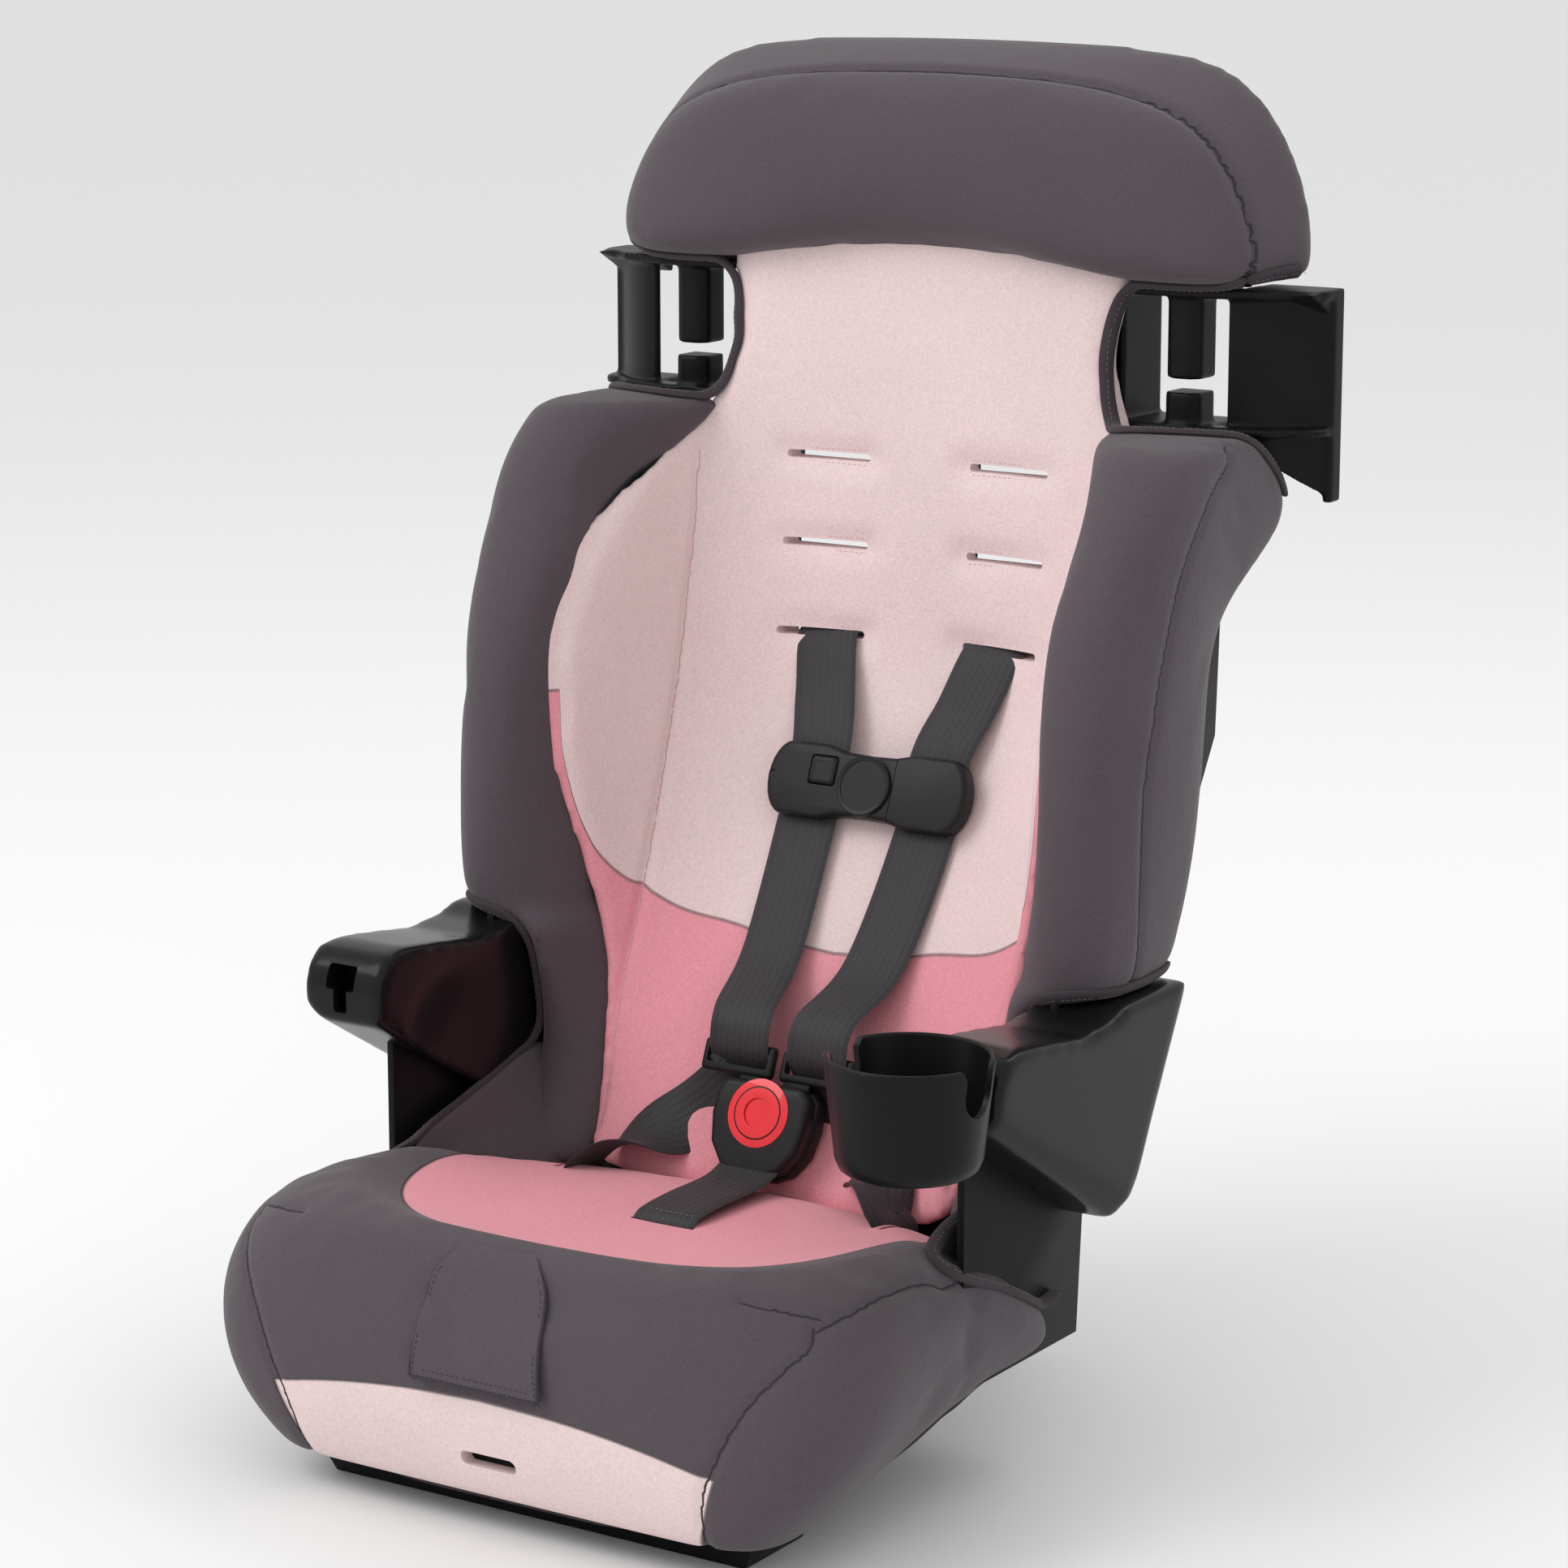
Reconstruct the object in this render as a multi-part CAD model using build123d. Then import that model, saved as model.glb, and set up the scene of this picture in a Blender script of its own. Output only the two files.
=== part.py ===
from build123d import *

"""Child's combination harness booster seat.

Millimetres, +Z up, the sitter faces -Y. The origin is on the floor under the seat, on its
centre plane. Right is +X. Every piece is written to parts/NAME.step as its own node.
"""

import os
from math import atan, cos, degrees, radians, sin, tan

os.makedirs("parts", exist_ok=True)

# ------------------------------------------------------------------ clearances
SOFT_GAP = 0.3  # a soft piece and what it lies on
RUN_GAP = 0.4  # a moving piece and its guide
WEB_GAP = 0.8  # webbing and the slot it passes through

# ------------------------------------------------------------------ shell
WALL = 4.0
SHELL_HALF = 182.0  # half the width over the side walls
HIP_Y, HIP_Z = -5.0, 136.0  # where the back's surface meets the seat
LOWER_RECLINE = 31.5  # degrees from upright
UPPER_RECLINE = 3.0
BEND_Z = 362.0
BEND_RADIUS = 120.0
BACK_PAD = 12.0  # thickness of the back's padding
NECK_HALF = 122.0  # half width between the belt openings
OPENING_LOW, OPENING_HIGH = 528.0, 598.0
HEAD_HALF = 192.0  # head panel of the shell
HEAD_PANEL_TOP = 716.0
HEAD_CORNER = 75.0
PAN_TOP = 104.0
PAN_FRONT = -248.0
PAN_REAR = 5.0
BASE_KNEE = 62.0  # height where the base starts to narrow to its foot
FOOT_HALF = 128.0
KNEE_HALF = 158.0
FOOT_FRONT, FOOT_REAR = -230.0, -178.0
KEEL_HALF = 58.0
KEEL_REAR = 140.0
KEEL_TOP = 200.0  # where the keel dies into the back
KEEL_HEEL = 60.0  # height of its upright heel
RIB_HALF = 100.0  # outside of the two tall ribs
RIB_LOW, RIB_KNEE, RIB_TOP = 70.0, 150.0, 590.0
RIB_REAR_LOW, RIB_REAR_TOP = 134.0, 180.0
CORE_TOP = 505.0  # top of the side wing inside the bolster
WING_LOW = 250.0

# ------------------------------------------------------------------ harness slots
SLOT_ROWS = (398.0, 448.0, 497.0)
SLOT_INNER, SLOT_OUTER = 30.0, 86.0
SLOT_HEIGHT = 8.0

# ------------------------------------------------------------------ bolsters and arms
BOLSTER_IN = 150.0
BOLSTER_OUT = 208.0
BOLSTER_FRONT = -24.0
ARM_OUT = 216.0
ARM_IN = 166.0
ARM_NOSE = -137.0
ARM_TOP = 250.0
ARM_TOE = 213.0  # underside height at the nose
ARM_HEEL_Y, ARM_HEEL_Z = -5.0, 134.0
ARM_TAIL = 58.0
ARM_STEP = -20.0  # rearwards of this the arm lies outside the side wall
ARM_WALL = 3.5

# ------------------------------------------------------------------ belt guides
GUIDE_OUT = 232.0
GUIDE_HEM = 488.0
GUIDE_PLATE = 4.0
HOOK_X, HOOK_Y = 158.0, 154.0
HOOK_WIDE, HOOK_DEEP = 20.0, 16.0
HOOK_TIP = 553.0
STUB_TIP = 546.0

# ------------------------------------------------------------------ head pad
HOOD_HALF = 214.0
HOOD_LOW, HOOD_TOP = 603.0, 732.0
HOOD_SIDE_FRONT = 114.0
HOOD_MID_FRONT = 134.0
HOOD_REAR = 204.0
HOOD_CORNER = 105.0

# ------------------------------------------------------------------ seat cover
COVER = 10.0  # thickness of the front and side cover
SEAT_DIP = 121.0
SEAT_FRONT_TOP = 150.0
SEAT_REAR = 117.0
COVER_HALF = 196.0
COVER_HEM_HALF = 142.0
COVER_FRONT = -264.0
COVER_TOP_FRONT, COVER_TOP_REAR = 147.0, 92.0
COVER_HEM = 66.0
SLIT_Z, SLIT_WIDE, SLIT_HIGH = 42.0, 34.0, 8.0

# ------------------------------------------------------------------ webbing
WEB_WIDE, WEB_THICK = 38.0, 1.6
STRAP_SLOT_X = 54.0
STRAP_CLIP_X = 38.0
STRAP_LOW_X = 25.0
HIP_SLOT_X, HIP_SLOT_Y = 104.0, -46.0
CROTCH_Y = -114.0

# ------------------------------------------------------------------ chest clip
CLIP_Y, CLIP_Z = 90.0, 322.0
HARNESS_TILT = 22.0  # clip and buckle lean back by this
CLIP_HALF, CLIP_HIGH, CLIP_THICK = 64.0, 42.0, 13.0
CLIP_PLATE = 3.0
CLIP_BUTTON = 16.0
CLIP_DISC_RADIUS = 17.0
PRONG_LONG = 14.0
CLIP_TRAVEL = 24.0

# ------------------------------------------------------------------ buckle
BUCKLE_Y, BUCKLE_Z = -16.0, 151.0
BUCKLE_WIDE, BUCKLE_HIGH, BUCKLE_THICK = 60.0, 52.0, 22.0
BUCKLE_WALL = 2.0
BUTTON_RADIUS = 11.5
BUTTON_UP = 9.0
BUTTON_TRAVEL = 3.0
TONGUE_THICK = 2.4
TONGUE_BLADE = 17.0
TONGUE_DEPTH = 18.0
LOOP_WIDE, LOOP_HIGH, LOOP_THICK = 46.0, 16.0, 6.0

# ------------------------------------------------------------------ harness adjuster and flap
ADJUSTER_WIDE, ADJUSTER_HIGH = 50.0, 26.0
ADJUSTER_FRONT, ADJUSTER_REAR = -252.0, -228.0
ADJUSTER_SLOT_Y = -222.0
ADJUSTER_FLOOR, ADJUSTER_CHEEK = 2.0, 2.5
ADJUSTER_STRAP_Z = 84.0  # run of its strap under the pan
LEVER_SWING = 18.0
PIN_RADIUS = 2.0
FLAP_HALF_TOP, FLAP_HALF_LOW = 30.0, 42.0
FLAP_LOW, FLAP_TOP = 82.0, 148.0
FLAP_THICK = 3.0

# ------------------------------------------------------------------ cup holder
CUP_RADIUS, CUP_WALL = 42.0, 3.0
CUP_X = 192.0
CUP_LOW, CUP_TOP = 203.0, 262.0
CUP_STANDOFF = 3.0
LUG_NECK, LUG_HEAD = 8.0, 18.0
LUG_Z = 224.0
LUG_HIGH = 12.0
LUG_THICK = 2.5
CUP_LIFT = 13.0


# ================================================================== helpers
def back_y(z):
    """Depth of the back padding's front surface at height z."""
    bend = HIP_Y + (BEND_Z - HIP_Z) * tan(radians(LOWER_RECLINE))
    if z < BEND_Z:
        return HIP_Y + (z - HIP_Z) * tan(radians(LOWER_RECLINE))
    return bend + (z - BEND_Z) * tan(radians(UPPER_RECLINE))


def back_line(offset, heights):
    """The back's curve, moved rearwards by offset, as one curve through the heights."""
    points = [(back_y(z) + offset, z) for z in heights]
    if len(points) == 2:
        return Line(*points)
    return FilletPolyline(*points, radius=BEND_RADIUS)


def back_layer(near, far, low, high, half):
    """A layer that follows the back between two offsets, symmetric about the centre."""
    heights = [low, BEND_Z, high] if low < BEND_Z < high else [low, high]
    front, rear = back_line(near, heights), back_line(far, heights)
    outline = front + Line(front @ 1, rear @ 1) + rear + Line(rear @ 0, front @ 0)
    return extrude(Plane.YZ * make_face(outline.edges()), half, both=True)


def side_solid(points, x_low, x_high):
    """A closed Y-Z outline between two X planes."""
    face = Plane.YZ.offset(x_low) * make_face(Polyline(*points, close=True))
    return extrude(face, x_high - x_low, dir=(1, 0, 0))


def plan_solid(points, z_low, z_high):
    """A closed X-Y outline between two heights."""
    face = Plane.XY.offset(z_low) * make_face(Polyline(*points, close=True))
    return extrude(face, z_high - z_low, dir=(0, 0, 1))


def block(x_low, x_high, y_low, y_high, z_low, z_high):
    """A box given by its limits."""
    size = (x_high - x_low, y_high - y_low, z_high - z_low)
    middle = ((x_low + x_high) / 2, (y_low + y_high) / 2, (z_low + z_high) / 2)
    return Pos(*middle) * Box(*size)


def both_sides(piece):
    """The piece and its mirror image."""
    return piece + mirror(piece, about=Plane.YZ)


def tub(sections):
    """Straight-sided solid through rectangles (half width, front, rear, height)."""
    solid = None
    for (half_a, front_a, rear_a, z_a), (half_b, front_b, rear_b, z_b) in zip(sections, sections[1:]):
        low = Plane.XY.offset(z_a) * Pos(0, (front_a + rear_a) / 2) * Rectangle(2 * half_a, rear_a - front_a)
        high = Plane.XY.offset(z_b) * Pos(0, (front_b + rear_b) / 2) * Rectangle(2 * half_b, rear_b - front_b)
        layer = loft([low, high], ruled=True)
        solid = layer if solid is None else solid + layer
    return solid


def lean(y, z):
    """Frame of a piece that leans with the harness: X across, Y up along it, Z to the front."""
    tilt = radians(HARNESS_TILT)
    return Plane(origin=(0, y, z), x_dir=(1, 0, 0), z_dir=(0, -cos(tilt), sin(tilt)))


def ribbon(stations):
    """Webbing through stations of (point, width direction, travel direction)."""
    sections = [
        Plane(origin=point, x_dir=Vector(*across).normalized(), z_dir=Vector(*ahead).normalized())
        * Rectangle(WEB_WIDE, WEB_THICK)
        for point, across, ahead in stations
    ]
    legs = [loft([start, end], ruled=True) for start, end in zip(sections, sections[1:])]
    return Part() + legs


def flat_ribbon(points, x=0.0):
    """Webbing that bends in the Y-Z plane only, through points (y, z)."""
    spots = [Vector(x, y, z) for y, z in points]
    legs = [(b - a).normalized() for a, b in zip(spots, spots[1:])]
    heads = [legs[0]] + [(a + b).normalized() for a, b in zip(legs, legs[1:])] + [legs[-1]]
    return ribbon([(spot, (1, 0, 0), head) for spot, head in zip(spots, heads)])


def arm_underside(y):
    """Height of the arm's sloping underside."""
    slope = (ARM_HEEL_Z - ARM_TOE) / (ARM_HEEL_Y - ARM_NOSE)
    return ARM_TOE + (y - ARM_NOSE) * slope


def slot_cutters(low_row=0):
    """Bars that cut the harness slots through the back, from row low_row upwards."""
    bars = [
        block(side * SLOT_INNER, side * SLOT_OUTER, HIP_Y, HOOD_REAR, z - SLOT_HEIGHT / 2, z + SLOT_HEIGHT / 2)
        if side > 0
        else block(-SLOT_OUTER, -SLOT_INNER, HIP_Y, HOOD_REAR, z - SLOT_HEIGHT / 2, z + SLOT_HEIGHT / 2)
        for z in SLOT_ROWS[low_row:]
        for side in (-1, 1)
    ]
    return Part() + bars


# ================================================================== shell
SHELL_NEAR = BACK_PAD + SOFT_GAP
SHELL_FAR = SHELL_NEAR + WALL


def shell_head(grow=0.0):
    """Head panel of the shell, grown by a clearance for the hood's pocket."""
    panel = back_layer(SHELL_NEAR - grow, SHELL_FAR + grow, HOOD_LOW, HEAD_PANEL_TOP + grow, HEAD_HALF + grow)
    centre = (HEAD_PANEL_TOP + HOOD_LOW) / 2
    outline = Plane.XZ * Pos(0, centre - HEAD_CORNER / 2) * RectangleRounded(
        2 * (HEAD_HALF + grow), HEAD_PANEL_TOP - HOOD_LOW + HEAD_CORNER + 2 * grow, HEAD_CORNER
    )
    return panel & extrude(outline, 2 * HOOD_REAR, both=True)


WING = [
    (8.0, WING_LOW),
    (2.0, 368.0),
    (24.0, 440.0),
    (62.0, 492.0),
    (92.0, CORE_TOP),
    (back_y(CORE_TOP) + SHELL_FAR, CORE_TOP),
    (back_y(BEND_Z) + SHELL_FAR, BEND_Z),
    (back_y(WING_LOW) + SHELL_FAR, WING_LOW),
]


def make_shell():
    """One-piece moulded shell: back, wings, head panel, pan, base, keel and rear ribs."""
    back = back_layer(SHELL_NEAR, SHELL_FAR, PAN_TOP, CORE_TOP, SHELL_HALF)
    neck = back_layer(SHELL_NEAR, SHELL_FAR, CORE_TOP - WALL, HOOD_LOW + WALL, NECK_HALF)
    wing = side_solid(WING, SHELL_HALF - WALL, SHELL_HALF)
    lower_wall = [
        (-112.0, PAN_TOP - WALL),
        (-112.0, arm_underside(-112.0) - SOFT_GAP),
        (ARM_STEP, arm_underside(ARM_STEP) - SOFT_GAP),
        (ARM_STEP, ARM_TOP),
        (8.0, WING_LOW),
        (back_y(WING_LOW) + SHELL_FAR, WING_LOW),
        (back_y(ARM_HEEL_Z) + SHELL_FAR, ARM_HEEL_Z),
        (PAN_REAR, BASE_KNEE + WALL),
        (-112.0, BASE_KNEE + WALL),
    ]
    side = side_solid(lower_wall, SHELL_HALF - WALL, SHELL_HALF)
    outer = tub(
        [
            (FOOT_HALF, FOOT_FRONT, FOOT_REAR, 0),
            (KNEE_HALF, PAN_FRONT, FOOT_REAR + 12, BASE_KNEE),
        ]
    ) + tub(
        [
            (KNEE_HALF, PAN_FRONT, PAN_REAR, BASE_KNEE),
            (SHELL_HALF - WALL / 2, PAN_FRONT, PAN_REAR, PAN_TOP),
        ]
    )
    inner = tub(
        [
            (FOOT_HALF - WALL, FOOT_FRONT + WALL, FOOT_REAR - WALL, -WALL),
            (KNEE_HALF - WALL, PAN_FRONT + WALL, FOOT_REAR + 12 - WALL, BASE_KNEE),
        ]
    ) + tub(
        [
            (KNEE_HALF - WALL, PAN_FRONT + WALL, PAN_REAR - WALL, BASE_KNEE - WALL),
            (SHELL_HALF - 1.5 * WALL, PAN_FRONT + WALL, PAN_REAR - WALL, PAN_TOP - WALL),
        ]
    )
    base = outer - inner
    core = SHELL_NEAR + WALL / 4
    keel_outline = [
        (FOOT_REAR - WALL, 0),
        (KEEL_REAR, 0),
        (KEEL_REAR, KEEL_HEEL),
        (back_y(KEEL_TOP) + core + 2 * WALL, KEEL_TOP),
        (back_y(KEEL_TOP) + core, KEEL_TOP),
        (back_y(PAN_TOP) + core, PAN_TOP - 1),
        (FOOT_REAR - WALL, PAN_TOP - 1),
    ]
    keel = side_solid(keel_outline, KEEL_HALF - WALL, KEEL_HALF)
    rib_outline = [
        (PAN_REAR - WALL / 2, PAN_TOP - 1),
        (PAN_REAR - WALL / 2, RIB_LOW),
        (PAN_REAR + WALL, RIB_LOW),
        (RIB_REAR_LOW, RIB_KNEE),
        (RIB_REAR_TOP, RIB_TOP - 2 * (RIB_REAR_TOP - back_y(RIB_TOP) - core)),
        (back_y(RIB_TOP) + core, RIB_TOP),
        (back_y(BEND_Z) + core, BEND_Z),
    ]
    rib = side_solid(rib_outline, RIB_HALF - WALL, RIB_HALF)
    sole = block(-KEEL_HALF, KEEL_HALF, FOOT_REAR - WALL, KEEL_REAR, 0, WALL)
    heel = block(-KEEL_HALF, KEEL_HALF, KEEL_REAR - WALL, KEEL_REAR, 0, KEEL_HEEL)
    shell = Part() + [back, neck, shell_head(), base, sole, heel]
    shell += both_sides(wing) + both_sides(side) + both_sides(keel) + both_sides(rib)
    shell -= slot_cutters()
    shell -= both_sides(hip_slot())
    shell -= crotch_slot()
    shell -= adjuster_slot()
    shell -= strap_window()
    return shell


def hip_slot():
    """Slot in the pan for a lap strap, on the right."""
    half = WEB_WIDE / 2 + WEB_GAP
    deep = WEB_THICK + 2 * WEB_GAP
    return Pos(HIP_SLOT_X, HIP_SLOT_Y, PAN_TOP) * Box(deep, 2 * half, 4 * SEAT_DIP - 4 * PAN_TOP)


def crotch_slot():
    """Slot in the pan for the crotch strap."""
    wide = WEB_WIDE + 2 * WEB_GAP
    deep = WEB_THICK + 2 * WEB_GAP
    return Pos(0, CROTCH_Y, PAN_TOP) * Box(wide, deep, 4 * SEAT_DIP - 4 * PAN_TOP)


def adjuster_slot():
    """Slot in the pan for the adjuster strap."""
    wide = WEB_WIDE + 2 * WEB_GAP
    deep = WEB_THICK + 2 * WEB_GAP
    return Pos(0, ADJUSTER_SLOT_Y, PAN_TOP) * Box(wide, deep, 4 * WALL)


def strap_window():
    """Window behind the back's foot where the adjuster strap runs forward under the pan."""
    half = WEB_WIDE / 2 + 2 * WEB_GAP
    front = back_y(PAN_TOP) + SHELL_FAR
    return block(-half, half, front, PAN_REAR + WALL, RIB_LOW, PAN_TOP + WALL)


# ================================================================== moulded arms, guides, cup
def make_arm():
    """Right arm: hollow wedge over the side wall, with the cup holder's keyhole in its nose."""
    def outline(inset):
        floor = inset * 1.17
        return [
            (ARM_NOSE + inset, ARM_TOE + floor),
            (ARM_NOSE + inset, ARM_TOP - 12),
            (ARM_NOSE + 10, ARM_TOP - inset),
            (ARM_TAIL - inset, ARM_TOP - inset),
            (ARM_HEEL_Y - inset, ARM_HEEL_Z + floor + inset),
        ]

    inner_face = SHELL_HALF + SOFT_GAP
    body = side_solid(outline(0), ARM_IN, ARM_OUT)
    body -= block(0, inner_face, ARM_STEP - SOFT_GAP, HOOD_REAR, 0, HOOD_TOP)
    hollow = side_solid(outline(ARM_WALL), ARM_IN + ARM_WALL, ARM_OUT - ARM_WALL)
    rear_wall = block(0, inner_face, ARM_STEP - ARM_WALL - SOFT_GAP, HOOD_REAR, 0, HOOD_TOP)
    body -= hollow - rear_wall
    body -= hollow & block(inner_face, ARM_OUT, ARM_STEP, HOOD_REAR, 0, HOOD_TOP)
    neck_half = LUG_NECK / 2 + RUN_GAP
    head_half = LUG_HEAD / 2 + RUN_GAP
    split = LUG_Z + LUG_HIGH / 2 + RUN_GAP
    front, rear = ARM_NOSE - 1, ARM_NOSE + ARM_WALL + 2 * LUG_THICK
    body -= block(CUP_X - neck_half, CUP_X + neck_half, front, rear, LUG_Z - LUG_HIGH / 2 - RUN_GAP, split)
    body -= block(CUP_X - head_half, CUP_X + head_half, front, rear, split - RUN_GAP, LUG_Z + LUG_HIGH / 2 + CUP_LIFT + RUN_GAP)
    return body


def make_guide():
    """Right belt guide: two shelves, an outer wall, a hanging hook and a stub below its gap."""
    low_shelf, high_shelf = OPENING_LOW - GUIDE_PLATE, OPENING_HIGH
    root = NECK_HALF - 22
    hook_left, hook_right = HOOK_X - HOOK_WIDE / 2, HOOK_X + HOOK_WIDE / 2
    hook_front, hook_rear = HOOK_Y - HOOK_DEEP / 2, HOOK_Y + HOOK_DEEP / 2
    behind = back_y(high_shelf) + SHELL_FAR + WALL
    shelf = [
        (NECK_HALF + 6, hook_front - 6),
        (hook_right + 8, hook_front - 6),
        (GUIDE_OUT, behind + 14),
        (GUIDE_OUT, behind + 26),
        (root, behind + 26),
        (root, behind),
        (NECK_HALF + 6, behind),
    ]
    guide = plan_solid(shelf, low_shelf, low_shelf + GUIDE_PLATE)
    guide += plan_solid(shelf, high_shelf, high_shelf + GUIDE_PLATE)
    wall = [
        (hook_right + 9, hook_front - 6),
        (GUIDE_OUT, behind + 14),
        (GUIDE_OUT, behind + 20),
        (hook_right + 7, hook_front),
    ]
    guide += plan_solid(wall, low_shelf, high_shelf + GUIDE_PLATE)
    hem = block(BOLSTER_OUT + 4, GUIDE_OUT, behind + 8, behind + 26, GUIDE_HEM, low_shelf + GUIDE_PLATE)
    guide += hem
    guide += block(hook_left, hook_right, hook_front, hook_rear, HOOK_TIP, high_shelf + GUIDE_PLATE)
    guide += block(hook_left, hook_right, hook_front, hook_rear, low_shelf, STUB_TIP)
    strip = back_layer(SHELL_FAR, SHELL_FAR + 2 * WALL, low_shelf, high_shelf + GUIDE_PLATE, NECK_HALF)
    guide += strip & block(root, NECK_HALF, 0, HOOD_REAR, low_shelf, high_shelf + GUIDE_PLATE)
    return guide


def make_cup():
    """Cup holder with an outboard notch and the T lug that drops into the arm's keyhole."""
    centre_y = ARM_NOSE - CUP_STANDOFF - CUP_RADIUS
    high = CUP_TOP - CUP_LOW
    cup = Pos(CUP_X, centre_y, (CUP_LOW + CUP_TOP) / 2) * Cylinder(CUP_RADIUS, high)
    cup -= Pos(CUP_X, centre_y, (CUP_LOW + CUP_TOP) / 2 + CUP_WALL) * Cylinder(CUP_RADIUS - CUP_WALL, high)
    notch_half = 12.0
    cup -= block(CUP_X + CUP_RADIUS / 2, CUP_X + 2 * CUP_RADIUS, centre_y - notch_half,
                 centre_y + notch_half, CUP_TOP - 2.2 * notch_half, CUP_TOP + 1)
    neck_half, head_half, half_high = LUG_NECK / 2, LUG_HEAD / 2, LUG_HIGH / 2
    inside = ARM_NOSE + ARM_WALL + RUN_GAP
    cup += block(CUP_X - neck_half, CUP_X + neck_half, centre_y + CUP_RADIUS - CUP_WALL / 2, inside + LUG_THICK,
                 LUG_Z - half_high, LUG_Z + half_high)
    cup += block(CUP_X - head_half, CUP_X + head_half, inside, inside + LUG_THICK,
                 LUG_Z - half_high, LUG_Z + half_high)
    return cup


# ================================================================== cover and padding
def make_back_pad():
    """Padding over the back, pierced by the harness slots."""
    pad = back_layer(0, BACK_PAD, PAN_TOP + SOFT_GAP, OPENING_LOW - 10, BOLSTER_IN - SOFT_GAP)
    pad += back_layer(0, BACK_PAD, OPENING_LOW - 11, HOOD_LOW - SOFT_GAP, NECK_HALF)
    return pad - slot_cutters()


def make_hood():
    """Head pad: a sleeve that slips down over the shell's head panel."""
    reach = HOOD_HALF + WALL
    side_front, side_rear = HOOD_MID_FRONT + 10, HOOD_REAR - 12
    front = ThreePointArc((-190, HOOD_SIDE_FRONT), (0, HOOD_MID_FRONT), (190, HOOD_SIDE_FRONT))
    rear = ThreePointArc((reach, side_rear), (0, HOOD_REAR), (-reach, side_rear))
    sides = Polyline((190, HOOD_SIDE_FRONT), (reach, side_front), (reach, side_rear))
    sides += Polyline((-reach, side_rear), (-reach, side_front), (-190, HOOD_SIDE_FRONT))
    face = make_face((front + rear + sides).edges())
    hood = extrude(Pos(0, 0, HOOD_LOW) * face, HOOD_TOP - HOOD_LOW, dir=(0, 0, 1))
    tall = HOOD_TOP - HOOD_LOW + HOOD_CORNER
    outline = Plane.XZ * Pos(0, HOOD_TOP - tall / 2) * RectangleRounded(2 * HOOD_HALF, tall, HOOD_CORNER)
    hood &= extrude(outline, 2 * HOOD_REAR, both=True)
    return hood - shell_head(grow=SOFT_GAP)


def make_bolster():
    """Right bolster, wrapped round the shell's wing, with its inner flank down to the seat."""
    hem = ARM_TOP + SOFT_GAP
    shelf = OPENING_LOW - GUIDE_PLATE - SOFT_GAP
    profile = [
        (BOLSTER_FRONT + 4, hem),
        (BOLSTER_FRONT, 370),
        (0, 450),
        (45, 515),
        (92, shelf),
        (148, shelf),
        (188, 480),
        (110, 446),
        (88, 410),
        (90, 350),
        (62, 284),
        (60, hem),
    ]
    bolster = side_solid(profile, BOLSTER_IN, BOLSTER_OUT)
    flank = [
        (-112, PAN_TOP + SOFT_GAP),
        (-112, 148),
        (ARM_STEP, 170),
        (BOLSTER_FRONT + 8, hem + 1),
        (back_y(hem + 1), hem + 1),
        (back_y(hem + 1) + BACK_PAD, hem + 1),
        (back_y(PAN_TOP) + BACK_PAD, PAN_TOP + SOFT_GAP),
    ]
    bolster += side_solid(flank, BOLSTER_IN, ARM_IN - SOFT_GAP)
    pocket = offset(Plane.YZ * make_face(Polyline(*WING, close=True)), SOFT_GAP, kind=Kind.INTERSECTION)
    pocket = extrude(Pos(SHELL_HALF - WALL - SOFT_GAP, 0, 0) * pocket, WALL + 2 * SOFT_GAP, dir=(1, 0, 0))
    bolster -= pocket
    return bolster - back_layer(BACK_PAD, 3 * HOOD_REAR, PAN_TOP, HOOD_LOW, SHELL_HALF + SOFT_GAP)


def make_cushion():
    """Seat padding on the pan, with its well for the harness adjuster."""
    floor = PAN_TOP + SOFT_GAP
    front = PAN_FRONT - SOFT_GAP
    outline = [
        (front, floor),
        (front, SEAT_FRONT_TOP),
        (front + 34, SEAT_FRONT_TOP - 3),
        (CROTCH_Y, SEAT_DIP),
        (-40, SEAT_REAR),
        (back_y(SEAT_REAR + 3) - SOFT_GAP, SEAT_REAR + 3),
        (back_y(floor) - SOFT_GAP, floor),
    ]
    half = BOLSTER_IN - SOFT_GAP
    cushion = side_solid(outline, -half, half)
    cushion -= both_sides(hip_slot()) + crotch_slot() + adjuster_well()
    return cushion


def adjuster_well():
    """Room for the adjuster in the cushion and the front cover."""
    half = ADJUSTER_WIDE / 2 + 2 * SOFT_GAP
    rear = ADJUSTER_SLOT_Y + WEB_THICK + 2 * WEB_GAP
    return block(-half, half, COVER_FRONT - COVER, rear, PAN_TOP, PAN_TOP + ADJUSTER_HIGH + 4)


def cover_front(z):
    """Depth of the front cover's outer face at height z, above the knee."""
    lean_back = (COVER_FRONT + 10 - COVER_FRONT + 4) / (COVER_TOP_FRONT - BASE_KNEE)
    return COVER_FRONT - 4 + (z - BASE_KNEE) * lean_back


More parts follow.
